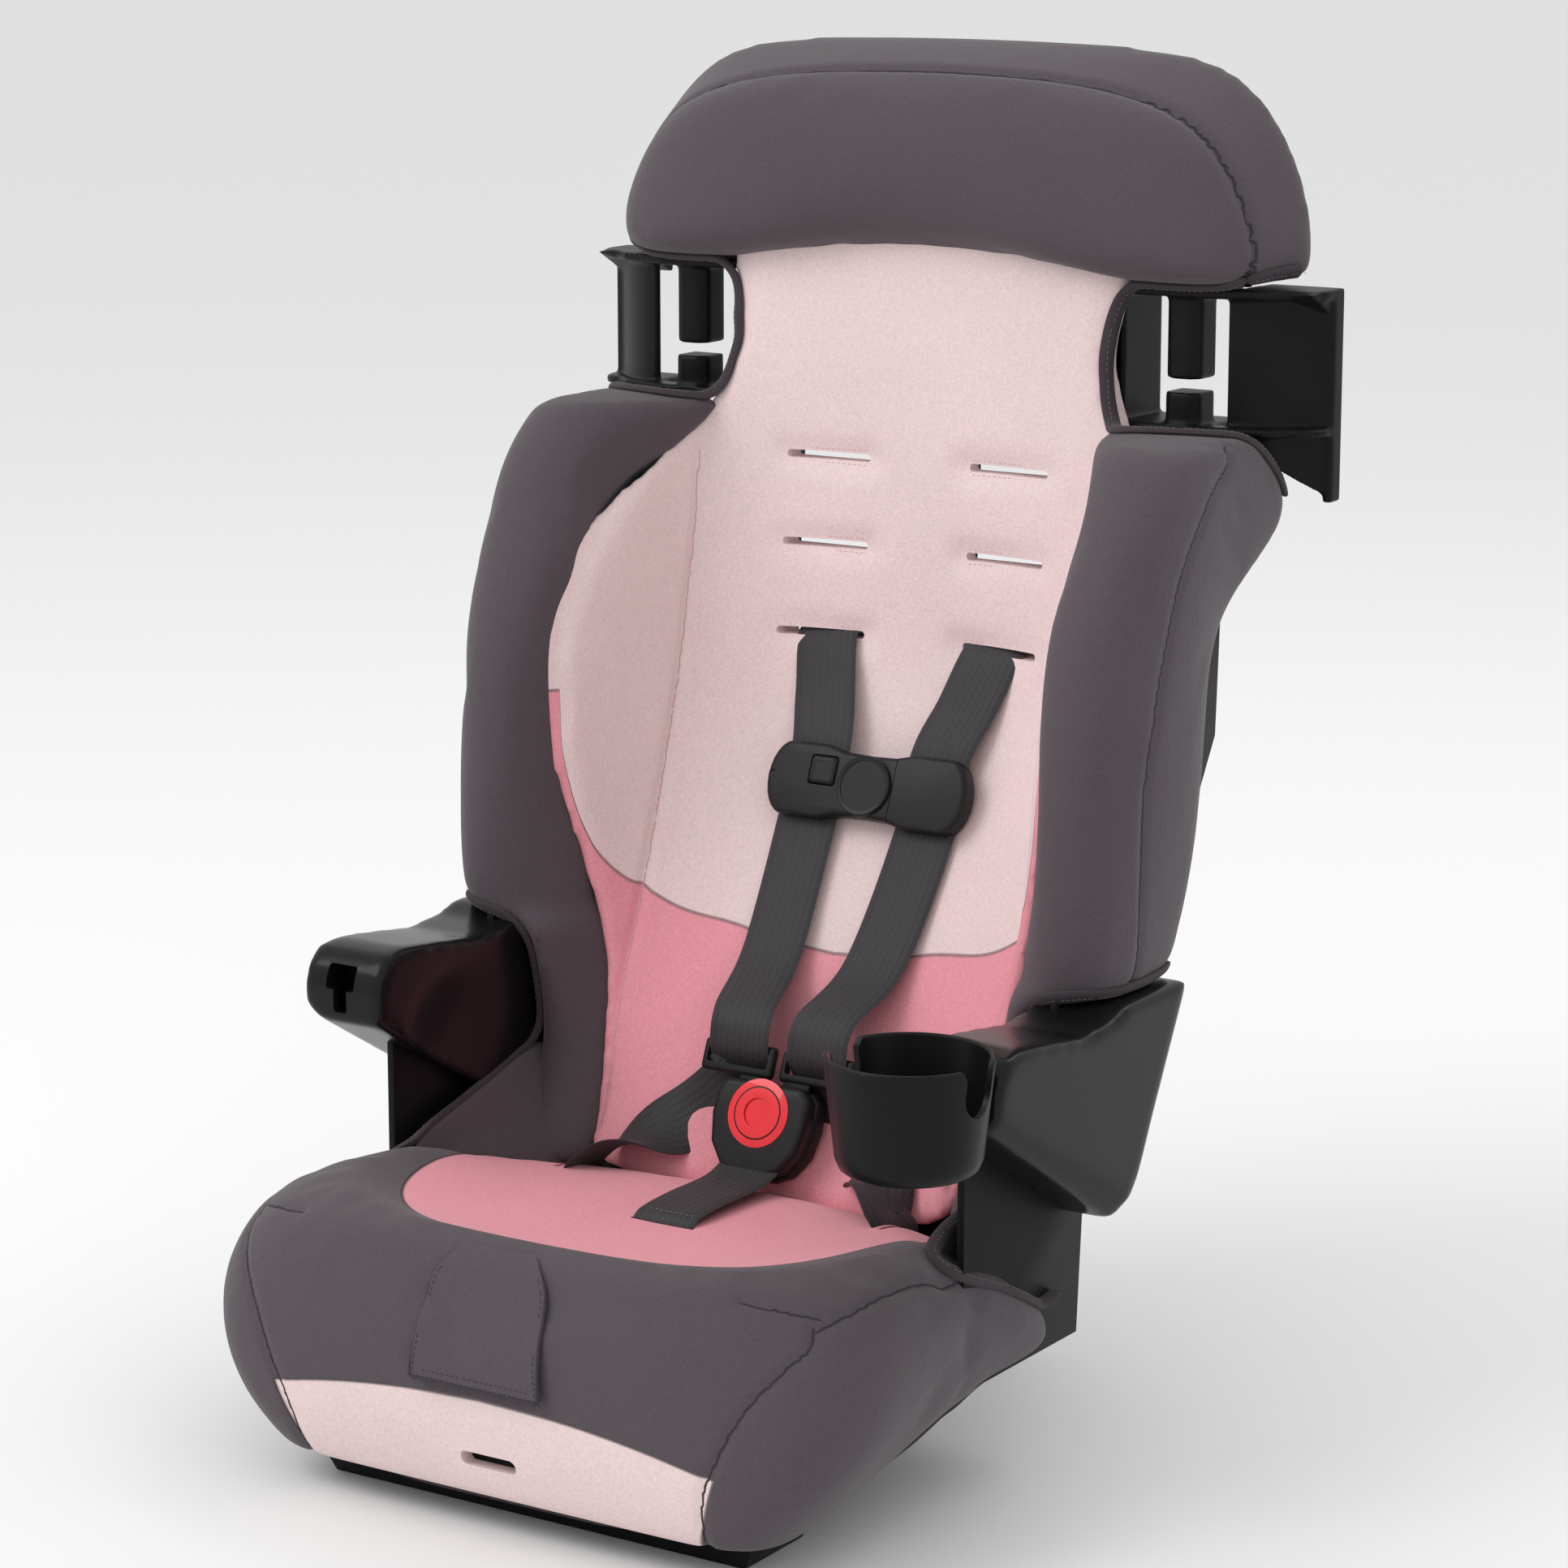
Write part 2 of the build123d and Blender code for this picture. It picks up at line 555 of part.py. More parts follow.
def make_cover():
    """Front and side cover, from the seat's edge down to the hem."""
    widest = 110.0
    rear = -12.0
    outer = tub(
        [
            (COVER_HEM_HALF - 4, FOOT_FRONT - COVER, FOOT_REAR + 4, 1.0),
            (COVER_HEM_HALF + 8, cover_front(BASE_KNEE) + 4, FOOT_REAR + 14, 30.0),
            (KNEE_HALF + COVER, cover_front(BASE_KNEE), FOOT_REAR + 30, BASE_KNEE),
        ]
    )
    outer += tub(
        [
            (KNEE_HALF + COVER, cover_front(BASE_KNEE), rear, BASE_KNEE),
            (COVER_HALF, cover_front(widest), rear, widest),
            (COVER_HALF - COVER, cover_front(COVER_TOP_FRONT), rear, COVER_TOP_FRONT),
        ]
    )
    core = tub(
        [
            (FOOT_HALF + SOFT_GAP, FOOT_FRONT - SOFT_GAP, FOOT_REAR + SOFT_GAP, 0.0),
            (KNEE_HALF + SOFT_GAP, PAN_FRONT - SOFT_GAP, FOOT_REAR + 12 + SOFT_GAP, BASE_KNEE),
        ]
    )
    core += tub(
        [
            (KNEE_HALF + SOFT_GAP, PAN_FRONT - SOFT_GAP, HOOD_REAR, BASE_KNEE - SOFT_GAP),
            (SHELL_HALF - WALL / 2 + SOFT_GAP, PAN_FRONT - SOFT_GAP, HOOD_REAR, PAN_TOP + SOFT_GAP),
        ]
    )
    cover = outer - core
    cover -= block(-KEEL_HALF - WALL, KEEL_HALF + WALL, FOOT_REAR, HOOD_REAR, 0, PAN_TOP)
    cover -= block(-BOLSTER_IN, BOLSTER_IN, PAN_FRONT - 2 * SOFT_GAP, HOOD_REAR, PAN_TOP, HOOD_TOP)
    cover -= adjuster_well()
    inner = SHELL_HALF + SOFT_GAP
    cover -= block(-inner, inner, -112 - SOFT_GAP, HOOD_REAR, 0, HOOD_TOP)
    falling = [
        (FOOT_FRONT, COVER_TOP_FRONT),
        (rear + 1, COVER_TOP_REAR),
        (rear + 1, HOOD_TOP),
        (FOOT_FRONT, HOOD_TOP),
    ]
    cover -= side_solid(falling, -HOOD_REAR, HOOD_REAR)
    cover -= slit()
    return cover


def slit():
    """Opening low in the front cover."""
    return block(-SLIT_WIDE / 2, SLIT_WIDE / 2, 2 * COVER_FRONT, PAN_FRONT, SLIT_Z - SLIT_HIGH / 2,
                 SLIT_Z + SLIT_HIGH / 2)


def make_slit_bar():
    """Rigid bar of the shell, seen through the cover's slit."""
    half = SLIT_WIDE / 2 - SOFT_GAP
    high = SLIT_HIGH / 2 - SOFT_GAP
    face = PAN_FRONT - 1.2 * COVER
    return block(-half, half, face, face + WALL, SLIT_Z - high, SLIT_Z + high)


def make_flap():
    """Fabric flap over the harness adjuster, hinged along its top edge."""
    stand = 2 * SOFT_GAP
    top, low = cover_front(FLAP_TOP) - stand, cover_front(FLAP_LOW) - stand
    sheet = side_solid(
        [(top, FLAP_TOP), (low, FLAP_LOW), (low - FLAP_THICK, FLAP_LOW), (top - FLAP_THICK, FLAP_TOP)],
        -FLAP_HALF_LOW,
        FLAP_HALF_LOW,
    )
    corner = 18.0
    shape = Polyline(
        (-FLAP_HALF_LOW, FLAP_LOW), (FLAP_HALF_LOW, FLAP_LOW), (FLAP_HALF_TOP + 6, FLAP_TOP - corner),
        (FLAP_HALF_TOP - 6, FLAP_TOP), (6 - FLAP_HALF_TOP, FLAP_TOP), (-6 - FLAP_HALF_TOP, FLAP_TOP - corner),
        close=True,
    )
    return sheet & extrude(Plane.XZ * make_face(shape), 2 * HOOD_REAR, both=True)


# ================================================================== harness
CLIP = lean(CLIP_Y, CLIP_Z)
BUCKLE = lean(BUCKLE_Y, BUCKLE_Z)
CLIP_WEB = -3.0  # depth of the webbing inside the clip
LOOP_LOW, LOOP_SLOT, LOOP_TOP = 28.0, 33.0, 46.0  # tongue heights above the buckle's middle
LOOP_BAR = 4.0


def at(frame, x, up, out):
    """Point x across, up along and out from the front of a leaning frame."""
    return tuple(frame.origin + frame.x_dir * x + frame.y_dir * up + frame.z_dir * out)


def make_strap():
    """Right harness strap: splitter, top slot, chest clip, tongue loop and hip anchor."""
    across = (1, 0, 0)
    row = SLOT_ROWS[0]
    behind = back_y(row) + SHELL_FAR + 6
    up, out = CLIP.y_dir, CLIP.z_dir
    low_up = BUCKLE.y_dir
    dive = (low_up * -5 - BUCKLE.z_dir * 8.4).normalized()
    yoke, on_yoke = splitter_frame(), (ANCHOR_THICK + WEB_THICK) / 2 + SOFT_GAP
    clear = LOOP_THICK / 2 + WEB_THICK
    behind_buckle = -BUCKLE_THICK / 2 - WEB_THICK - SOFT_GAP
    stations = [
        (at(yoke, STRAP_LOW_X + 18, 12, on_yoke), across, tuple(yoke.y_dir)),
        ((STRAP_SLOT_X - 1, behind, row - 4), across, (0, 0, 1)),
        ((STRAP_SLOT_X, behind - 4, row), across, (0, -1, 0)),
        ((STRAP_SLOT_X, back_y(row) - 3, row), across, (0, -1, -0.3)),
        (at(CLIP, STRAP_CLIP_X + 2, CLIP_HIGH / 2 + 22, CLIP_WEB), across, tuple(up * -1)),
        (at(CLIP, STRAP_CLIP_X, CLIP_HIGH / 2 + 2, CLIP_WEB), across, tuple(up * -1)),
        (at(CLIP, STRAP_CLIP_X, -CLIP_HIGH / 2 - 2, CLIP_WEB), across, tuple(up * -1)),
        (at(BUCKLE, STRAP_LOW_X, LOOP_TOP + 6, clear), across, tuple(low_up * -1)),
        (at(BUCKLE, STRAP_LOW_X, 40.5, clear), across, tuple((low_up * -1 + dive).normalized())),
        (at(BUCKLE, STRAP_LOW_X, 35.5, -clear), across, tuple((low_up * -1 + dive).normalized())),
        (at(BUCKLE, STRAP_LOW_X + 5, LOOP_LOW - 1, behind_buckle), across, tuple(dive)),
        (at(BUCKLE, 60, 0, behind_buckle - 1), tuple(BUCKLE.x_dir * 0.8 + low_up * 0.6), (0.64, -0.69, -0.34)),
        ((HIP_SLOT_X - 4, HIP_SLOT_Y, SEAT_REAR + 8), (0, 1, 0), (0.35, 0, -1)),
        ((HIP_SLOT_X, HIP_SLOT_Y, SEAT_REAR + 1), (0, 1, 0), (0, 0, -1)),
        ((HIP_SLOT_X, HIP_SLOT_Y, HIP_END_Z), (0, 1, 0), (0, 0, -1)),
    ]
    return ribbon(stations)


SPLITTER_Z = 336.0
HIP_END_Z = 90.0
ANCHOR_THICK = 3.0


def splitter_frame():
    """Frame of the splitter behind the back: X across, Y up along it, Z to the front."""
    tilt = radians(LOWER_RECLINE)
    y = back_y(SPLITTER_Z) + SHELL_FAR
    return Plane(origin=(0, y, SPLITTER_Z - 22), x_dir=(1, 0, 0), z_dir=(0, -cos(tilt), sin(tilt)))


def make_splitter():
    """Steel yoke behind the back that joins both harness straps to the adjuster strap."""
    reach = STRAP_LOW_X + 18 + WEB_WIDE / 2 + 4
    plate = splitter_frame()
    outline = make_face(Polyline((-reach, 24), (reach, 24), (reach, 6), (26, -14), (-26, -14), (-reach, 6),
                                 close=True))
    slots = [Pos(side * (STRAP_LOW_X + 18), 15) * Rectangle(WEB_WIDE + 2 * WEB_GAP, 6) for side in (-1, 1)]
    slots.append(Pos(0, -4) * Rectangle(WEB_WIDE + 2 * WEB_GAP, 6))
    for hole in slots:
        outline -= hole
    return plate * extrude(outline, ANCHOR_THICK / 2, both=True)


def make_hip_anchor():
    """Right hip anchor: slotted steel plate under the pan, with its cross pin."""
    top = PAN_TOP - WALL - SOFT_GAP
    long = WEB_WIDE + 2 * WEB_GAP
    plate = block(HIP_SLOT_X - 14, HIP_SLOT_X + 14, HIP_SLOT_Y - long / 2 - 12, HIP_SLOT_Y + long / 2 + 12,
                  top - ANCHOR_THICK, top)
    plate -= block(HIP_SLOT_X - 2, HIP_SLOT_X + 2, HIP_SLOT_Y - long / 2, HIP_SLOT_Y + long / 2, 0, top + 1)
    for side in (-1, 1):
        plate -= Pos(HIP_SLOT_X, HIP_SLOT_Y + side * (long / 2 + 6), top) * Cylinder(SCREW_RADIUS + RUN_GAP, 20)
    return plate


SCREW_RADIUS = 2.5
SCREW_HEAD = 4.5


def screw_places():
    """Centres of the anchor screws, under the pan."""
    long = WEB_WIDE + 2 * WEB_GAP
    hips = [(side * HIP_SLOT_X, HIP_SLOT_Y + end * (long / 2 + 6)) for side in (-1, 1) for end in (-1, 1)]
    crotch = [(end * (long / 2 + 6), CROTCH_Y) for end in (-1, 1)]
    return hips + crotch


def make_screws():
    """Screws that hold the three anchors up against the pan."""
    top = PAN_TOP - WALL - SOFT_GAP
    head_top = top - ANCHOR_THICK - SOFT_GAP
    screws = []
    for x, y in screw_places():
        shank = Pos(x, y, (head_top + top) / 2) * Cylinder(SCREW_RADIUS, top - head_top)
        screws.append(shank + Pos(x, y, head_top - 1.5) * Cylinder(SCREW_HEAD, 3))
    return Compound(children=screws)


def make_crotch_anchor():
    """Slotted steel plate under the pan that holds the crotch strap."""
    top = PAN_TOP - WALL - SOFT_GAP
    long = WEB_WIDE + 2 * WEB_GAP
    plate = block(-long / 2 - 12, long / 2 + 12, CROTCH_Y - 14, CROTCH_Y + 14, top - ANCHOR_THICK, top)
    plate -= block(-long / 2, long / 2, CROTCH_Y - 2, CROTCH_Y + 2, 0, top + 1)
    for side in (-1, 1):
        plate -= Pos(side * (long / 2 + 6), CROTCH_Y, top) * Cylinder(SCREW_RADIUS + RUN_GAP, 20)
    return plate


def make_crotch_strap():
    """Crotch strap from its anchor, forward over the seat and into the buckle's foot."""
    foot = at(BUCKLE, 0, -BUCKLE_HIGH / 2 - SOFT_GAP, 0)
    rise = tuple(BUCKLE.y_dir)
    lie = SEAT_DIP + 4
    stations = [
        ((0, CROTCH_Y, HIP_END_Z + 2), (1, 0, 0), (0, 0, 1)),
        ((0, CROTCH_Y, SEAT_DIP + 1.5), (1, 0, 0), (0, 0.1, 1)),
        ((0, CROTCH_Y + 3, lie), (1, 0, 0), (0, 1, 0.3)),
        ((0, foot[1] - 14, SEAT_REAR + 4), (1, 0, 0), (0, 1, 0)),
        ((0, foot[1] - 4, SEAT_REAR + 5), (1, 0, 0), (0, 0.9, 0.5)),
        (foot, (1, 0, 0), rise),
    ]
    return ribbon(stations)


def make_adjuster_strap():
    """Adjuster strap: splitter, down behind the back, under the pan and up to the adjuster."""
    behind = SHELL_FAR + 8
    top = at(splitter_frame(), 0, -6, (ANCHOR_THICK + WEB_THICK) / 2 + SOFT_GAP)
    points = [
        top[1:],
        (back_y(SPLITTER_Z - 39) + behind, SPLITTER_Z - 39),
        (back_y(PAN_TOP + 30) + behind, PAN_TOP + 30),
        (back_y(PAN_TOP) + SHELL_FAR + 4, PAN_TOP - 6),
        (PAN_REAR - 20, ADJUSTER_STRAP_Z),
        (ADJUSTER_SLOT_Y, ADJUSTER_STRAP_Z),
        (ADJUSTER_SLOT_Y, PAN_TOP + 8),
        (ADJUSTER_REAR + 2, PAN_TOP + 10),
        (ADJUSTER_FRONT + 2, PAN_TOP + 10),
    ]
    return flat_ribbon(points)


def make_adjuster_body():
    """Adjuster frame: a floor riveted to the pan between two cheeks that carry the pin."""
    half = ADJUSTER_WIDE / 2
    floor_z = PAN_TOP + SOFT_GAP
    body = block(-half, half, ADJUSTER_FRONT, ADJUSTER_REAR, floor_z, floor_z + ADJUSTER_FLOOR)
    cheek = block(half - ADJUSTER_CHEEK, half, ADJUSTER_FRONT, ADJUSTER_REAR, floor_z,
                  floor_z + ADJUSTER_HIGH - 2)
    body += both_sides(cheek)
    pin_y, pin_z = adjuster_pin_place()
    bore = Pos(0, pin_y, pin_z) * Rot(0, 90, 0) * Cylinder(PIN_RADIUS + 0.05, 2 * ADJUSTER_WIDE)
    return body - bore


def adjuster_pin_place():
    """Depth and height of the adjuster's pin."""
    return (ADJUSTER_FRONT + ADJUSTER_REAR) / 2 + 3, PAN_TOP + ADJUSTER_HIGH - 8


def make_adjuster_pin():
    """Pin across the adjuster's cheeks."""
    pin_y, pin_z = adjuster_pin_place()
    return Pos(0, pin_y, pin_z) * Rot(0, 90, 0) * Cylinder(PIN_RADIUS, ADJUSTER_WIDE + 1)


def make_adjuster_lever():
    """Release lever: a bored hub on the pin with a thumb blade to the front."""
    half = ADJUSTER_WIDE / 2 - ADJUSTER_CHEEK - RUN_GAP
    pin_y, pin_z = adjuster_pin_place()
    hub = Pos(0, pin_y, pin_z) * Rot(0, 90, 0) * Cylinder(PIN_RADIUS + 2, 2 * half)
    blade = side_solid(
        [(pin_y, pin_z + 1), (ADJUSTER_FRONT - 3, pin_z + 4), (ADJUSTER_FRONT - 3, pin_z + 1), (pin_y, pin_z - 2)],
        -half,
        half,
    )
    jaw = side_solid(
        [(pin_y + 3, pin_z), (pin_y + 5, pin_z - 5), (pin_y + 2, pin_z - 5.5), (pin_y - 2, pin_z - 2)],
        -half,
        half,
    )
    bore = Pos(0, pin_y, pin_z) * Rot(0, 90, 0) * Cylinder(PIN_RADIUS + 0.05, 2 * ADJUSTER_WIDE)
    return hub + blade + jaw - bore


def make_adjuster_spring():
    """Leaf spring that holds the adjuster's lever shut."""
    pin_y, pin_z = adjuster_pin_place()
    leaf = 0.8
    low = pin_z - 1.5
    return block(-8, 8, ADJUSTER_FRONT + 1, pin_y - 5, low - leaf, low)


# ------------------------------------------------------------------ chest clip
def local_block(x_low, x_high, up_low, up_high, out_low, out_high):
    """A box in a leaning frame's own axes."""
    return block(x_low, x_high, up_low, up_high, out_low, out_high)


def clip_half():
    """Right half's body in the clip's frame: a plate closed round its webbing."""
    half_high, half_thick = CLIP_HIGH / 2, CLIP_THICK / 2
    outline = Pos((CLIP_HALF + SOFT_GAP) / 2, 0) * RectangleRounded(CLIP_HALF - SOFT_GAP, CLIP_HIGH, 8)
    body = extrude(outline, half_thick, both=True)
    body += local_block(SOFT_GAP, 12, -half_high, half_high, -half_thick, half_thick)
    channel = WEB_WIDE / 2 + 2 * SOFT_GAP
    deep = WEB_THICK / 2 + WEB_GAP
    return body - local_block(STRAP_CLIP_X - channel, STRAP_CLIP_X + channel, -CLIP_HIGH, CLIP_HIGH,
                              CLIP_WEB - deep, CLIP_WEB + deep)


PRONG_HALF_HIGH, PRONG_HALF_THICK = 11.0, 2.5
CLIP_BUTTON_X, CLIP_BUTTON_UP = -28.0, 6.0
CLIP_BUTTON_FLOOR = 1.2
CLIP_BUTTON_TRAVEL = 1.8


def make_clip_right():
    """Right half of the chest clip, with the socket for the prong."""
    socket = local_block(0, PRONG_LONG + 1, -PRONG_HALF_HIGH - RUN_GAP, PRONG_HALF_HIGH + RUN_GAP,
                         -PRONG_HALF_THICK - RUN_GAP, PRONG_HALF_THICK + RUN_GAP)
    return CLIP * (clip_half() - socket)


def make_clip_left():
    """Left half of the chest clip, with the prong, the button's well and the round boss."""
    body = mirror(clip_half(), about=Plane.YZ)
    body += local_block(-10, PRONG_LONG, -PRONG_HALF_HIGH, PRONG_HALF_HIGH, -PRONG_HALF_THICK, PRONG_HALF_THICK)
    well = CLIP_BUTTON / 2 + RUN_GAP
    body -= Pos(CLIP_BUTTON_X, CLIP_BUTTON_UP) * local_block(-well, well, -well, well, CLIP_BUTTON_FLOOR, CLIP_THICK)
    face = CLIP_THICK / 2
    boss = Pos(0, 0, face + SOFT_GAP + 0.7) * Cylinder(CLIP_DISC_RADIUS, 1.4)
    root = Pos(0, 0, face + SOFT_GAP / 2) * Cylinder(CLIP_DISC_RADIUS - 1, 2 * SOFT_GAP)
    root &= local_block(-CLIP_HALF, -SOFT_GAP, -CLIP_HIGH, CLIP_HIGH, 0, CLIP_THICK)
    return CLIP * (body + boss + root)


def make_clip_button():
    """Square release button in the chest clip's left half."""
    half = CLIP_BUTTON / 2
    low = CLIP_BUTTON_FLOOR + CLIP_BUTTON_TRAVEL + RUN_GAP
    return CLIP * (Pos(CLIP_BUTTON_X, CLIP_BUTTON_UP) * local_block(-half, half, -half, half, low,
                                                                   CLIP_THICK / 2 + 0.6))


# ------------------------------------------------------------------ buckle
BUTTON_SEAT = 5.0  # depth of the red button's underside in front of the tongues
SPRING_RADIUS = 2.6


def buckle_shell(front):
    """One half of the buckle's casing in its frame."""
    half_wide, half_high, half_thick = BUCKLE_WIDE / 2, BUCKLE_HIGH / 2, BUCKLE_THICK / 2
    low, high = (SOFT_GAP / 2, half_thick) if front else (-half_thick, -SOFT_GAP / 2)
    outline = Pos(0, 0, low) * RectangleRounded(BUCKLE_WIDE, BUCKLE_HIGH, 9)
    casing = extrude(outline, high - low, dir=(0, 0, 1))
    room_low, room_high = (0, high - BUCKLE_WALL) if front else (low + BUCKLE_WALL, 0)
    casing -= local_block(-half_wide + BUCKLE_WALL, half_wide - BUCKLE_WALL, -half_high + BUCKLE_WALL + 3,
                          half_high - BUCKLE_WALL, room_low, room_high)
    mouth = TONGUE_THICK / 2 + RUN_GAP
    for side in (-1, 1):
        low_x, high_x = sorted((side * (TONGUE_INNER - RUN_GAP), side * (TONGUE_INNER + TONGUE_BLADE + RUN_GAP)))
        casing -= local_block(low_x, high_x, half_high - 2 * BUCKLE_WALL, half_high + 1, -mouth, mouth)
    return casing


TONGUE_INNER = 5.5


def make_buckle_front():
    """Front half of the buckle's casing, with the button's hole."""
    hole = Pos(0, BUTTON_UP, BUCKLE_THICK / 2) * Cylinder(BUTTON_RADIUS + RUN_GAP, BUCKLE_THICK / 2)
    return BUCKLE * (buckle_shell(True) - hole)


def make_buckle_back():
    """Rear half of the buckle's casing, with the spring's seat."""
    seat_top = -PIN_RADIUS - 2
    seat = Pos(0, BUTTON_UP, (seat_top - BUCKLE_THICK / 2) / 2) * Cylinder(SPRING_RADIUS + 1, seat_top + BUCKLE_THICK / 2)
    return BUCKLE * (buckle_shell(False) + seat)


def make_button():
    """Red release button."""
    top = BUCKLE_THICK / 2 + 1.5
    cap = Pos(0, BUTTON_UP, (BUTTON_SEAT + top) / 2) * Cylinder(BUTTON_RADIUS, top - BUTTON_SEAT)
    return BUCKLE * fillet(cap.edges().group_by(Axis.Z)[-1], 1.0)


def make_button_spring():
    """Coil spring between the buckle's rear casing and the red button."""
    wire = 0.35
    low = -PIN_RADIUS - 2 + SOFT_GAP / 2 + wire
    high = BUTTON_SEAT - SOFT_GAP / 2 - wire
    coil = Helix(pitch=(high - low) / 4, height=high - low, radius=SPRING_RADIUS)
    start = Plane(origin=coil @ 0, z_dir=coil % 0)
    return BUCKLE * Pos(0, BUTTON_UP, low) * sweep(start * Circle(wire), path=coil, is_frenet=True)


def make_tongue():
    """Right tongue: a blade for the buckle and a loop for the webbing."""
    half = TONGUE_THICK / 2
    blade = local_block(TONGUE_INNER, TONGUE_INNER + TONGUE_BLADE, BUCKLE_HIGH / 2 - TONGUE_DEPTH, LOOP_LOW + 1,
                        -half, half)
    low_x = STRAP_LOW_X - LOOP_WIDE / 2
    high_x = STRAP_LOW_X + LOOP_WIDE / 2
    loop = local_block(low_x, high_x, LOOP_LOW, LOOP_TOP, -LOOP_THICK / 2, LOOP_THICK / 2)
    room = WEB_WIDE / 2 + WEB_GAP
    loop -= local_block(STRAP_LOW_X - room, STRAP_LOW_X + room, LOOP_SLOT, LOOP_TOP - LOOP_BAR, -LOOP_THICK, LOOP_THICK)
    return BUCKLE * (blade + loop)


# ================================================================== write every node
SINGLE = {
    "seat_shell": make_shell,
    "head_pad": make_hood,
    "back_pad": make_back_pad,
    "seat_cushion": make_cushion,
    "front_cover": make_cover,
    "slit_bar": make_slit_bar,
    "adjuster_flap": make_flap,
    "cup_holder": make_cup,
    "strap_splitter": make_splitter,
    "adjuster_strap": make_adjuster_strap,
    "adjuster_body": make_adjuster_body,
    "adjuster_pin": make_adjuster_pin,
    "adjuster_lever": make_adjuster_lever,
    "adjuster_spring": make_adjuster_spring,
    "crotch_strap": make_crotch_strap,
    "crotch_anchor": make_crotch_anchor,
    "anchor_screws": make_screws,
    "clip_left": make_clip_left,
    "clip_right": make_clip_right,
    "clip_button": make_clip_button,
    "buckle_front": make_buckle_front,
    "buckle_back": make_buckle_back,
    "buckle_button": make_button,
    "button_spring": make_button_spring,
}
PAIRED = {
    "bolster": make_bolster,
    "arm": make_arm,
    "belt_guide": make_guide,
    "harness_strap": make_strap,
    "hip_anchor": make_hip_anchor,
    "tongue": make_tongue,
}

for name, make in SINGLE.items():
    export_step(make(), f"parts/{name}.step")
for name, make in PAIRED.items():
    right = make()
    export_step(right, f"parts/right_{name}.step")
    export_step(mirror(right, about=Plane.YZ), f"parts/left_{name}.step")
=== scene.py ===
"""The looks of a child's harness booster seat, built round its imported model.

Sizes are in millimetres until a mesh is made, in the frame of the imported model: +Z is up, the
sitter faces -Y, and the cup holder hangs on the +X arm.
"""

import logging
from collections.abc import Callable, Iterable, Sequence
from dataclasses import dataclass
from enum import Enum
from math import cos, exp, pi, radians, sin, tan

import bmesh
import bpy
import numpy as np
from mathutils import Matrix, Vector
from mathutils.bvhtree import BVHTree
from mathutils.kdtree import KDTree


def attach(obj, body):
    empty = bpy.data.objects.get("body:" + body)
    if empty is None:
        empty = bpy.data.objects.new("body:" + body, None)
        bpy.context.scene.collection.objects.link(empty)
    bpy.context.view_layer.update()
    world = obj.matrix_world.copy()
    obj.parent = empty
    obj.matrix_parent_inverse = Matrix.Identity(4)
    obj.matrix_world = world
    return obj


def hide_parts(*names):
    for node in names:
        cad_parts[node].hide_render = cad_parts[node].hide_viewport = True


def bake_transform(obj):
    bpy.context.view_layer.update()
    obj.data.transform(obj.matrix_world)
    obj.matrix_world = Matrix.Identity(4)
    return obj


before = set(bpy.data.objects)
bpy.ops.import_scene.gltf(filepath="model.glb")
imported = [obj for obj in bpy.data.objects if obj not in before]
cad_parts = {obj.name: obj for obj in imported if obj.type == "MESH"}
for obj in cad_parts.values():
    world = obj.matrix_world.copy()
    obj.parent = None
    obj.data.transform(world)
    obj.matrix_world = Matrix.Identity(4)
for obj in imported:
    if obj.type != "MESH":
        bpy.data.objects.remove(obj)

log = logging.getLogger("booster_seat")

MM = 0.001
Point = tuple[float, float, float]
Ring = list[Point]
Colour = tuple[float, float, float]
Socket = bpy.types.NodeSocket

CHARCOAL: Colour = (0.085, 0.070, 0.080)
LIGHT_PINK: Colour = (0.800, 0.635, 0.635)
PINK: Colour = (0.800, 0.325, 0.375)
THREAD: Colour = (0.035, 0.028, 0.033)
RED: Colour = (0.80, 0.018, 0.028)
TUBE_TIP = 0.35  # how far a tube narrows at its ends


class Side(Enum):
    """The two sides of the seat, as the sign of X."""

    LEFT = -1
    RIGHT = 1

    @property
    def word(self) -> str:
        """The side's name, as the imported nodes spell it."""
        return self.name.lower()


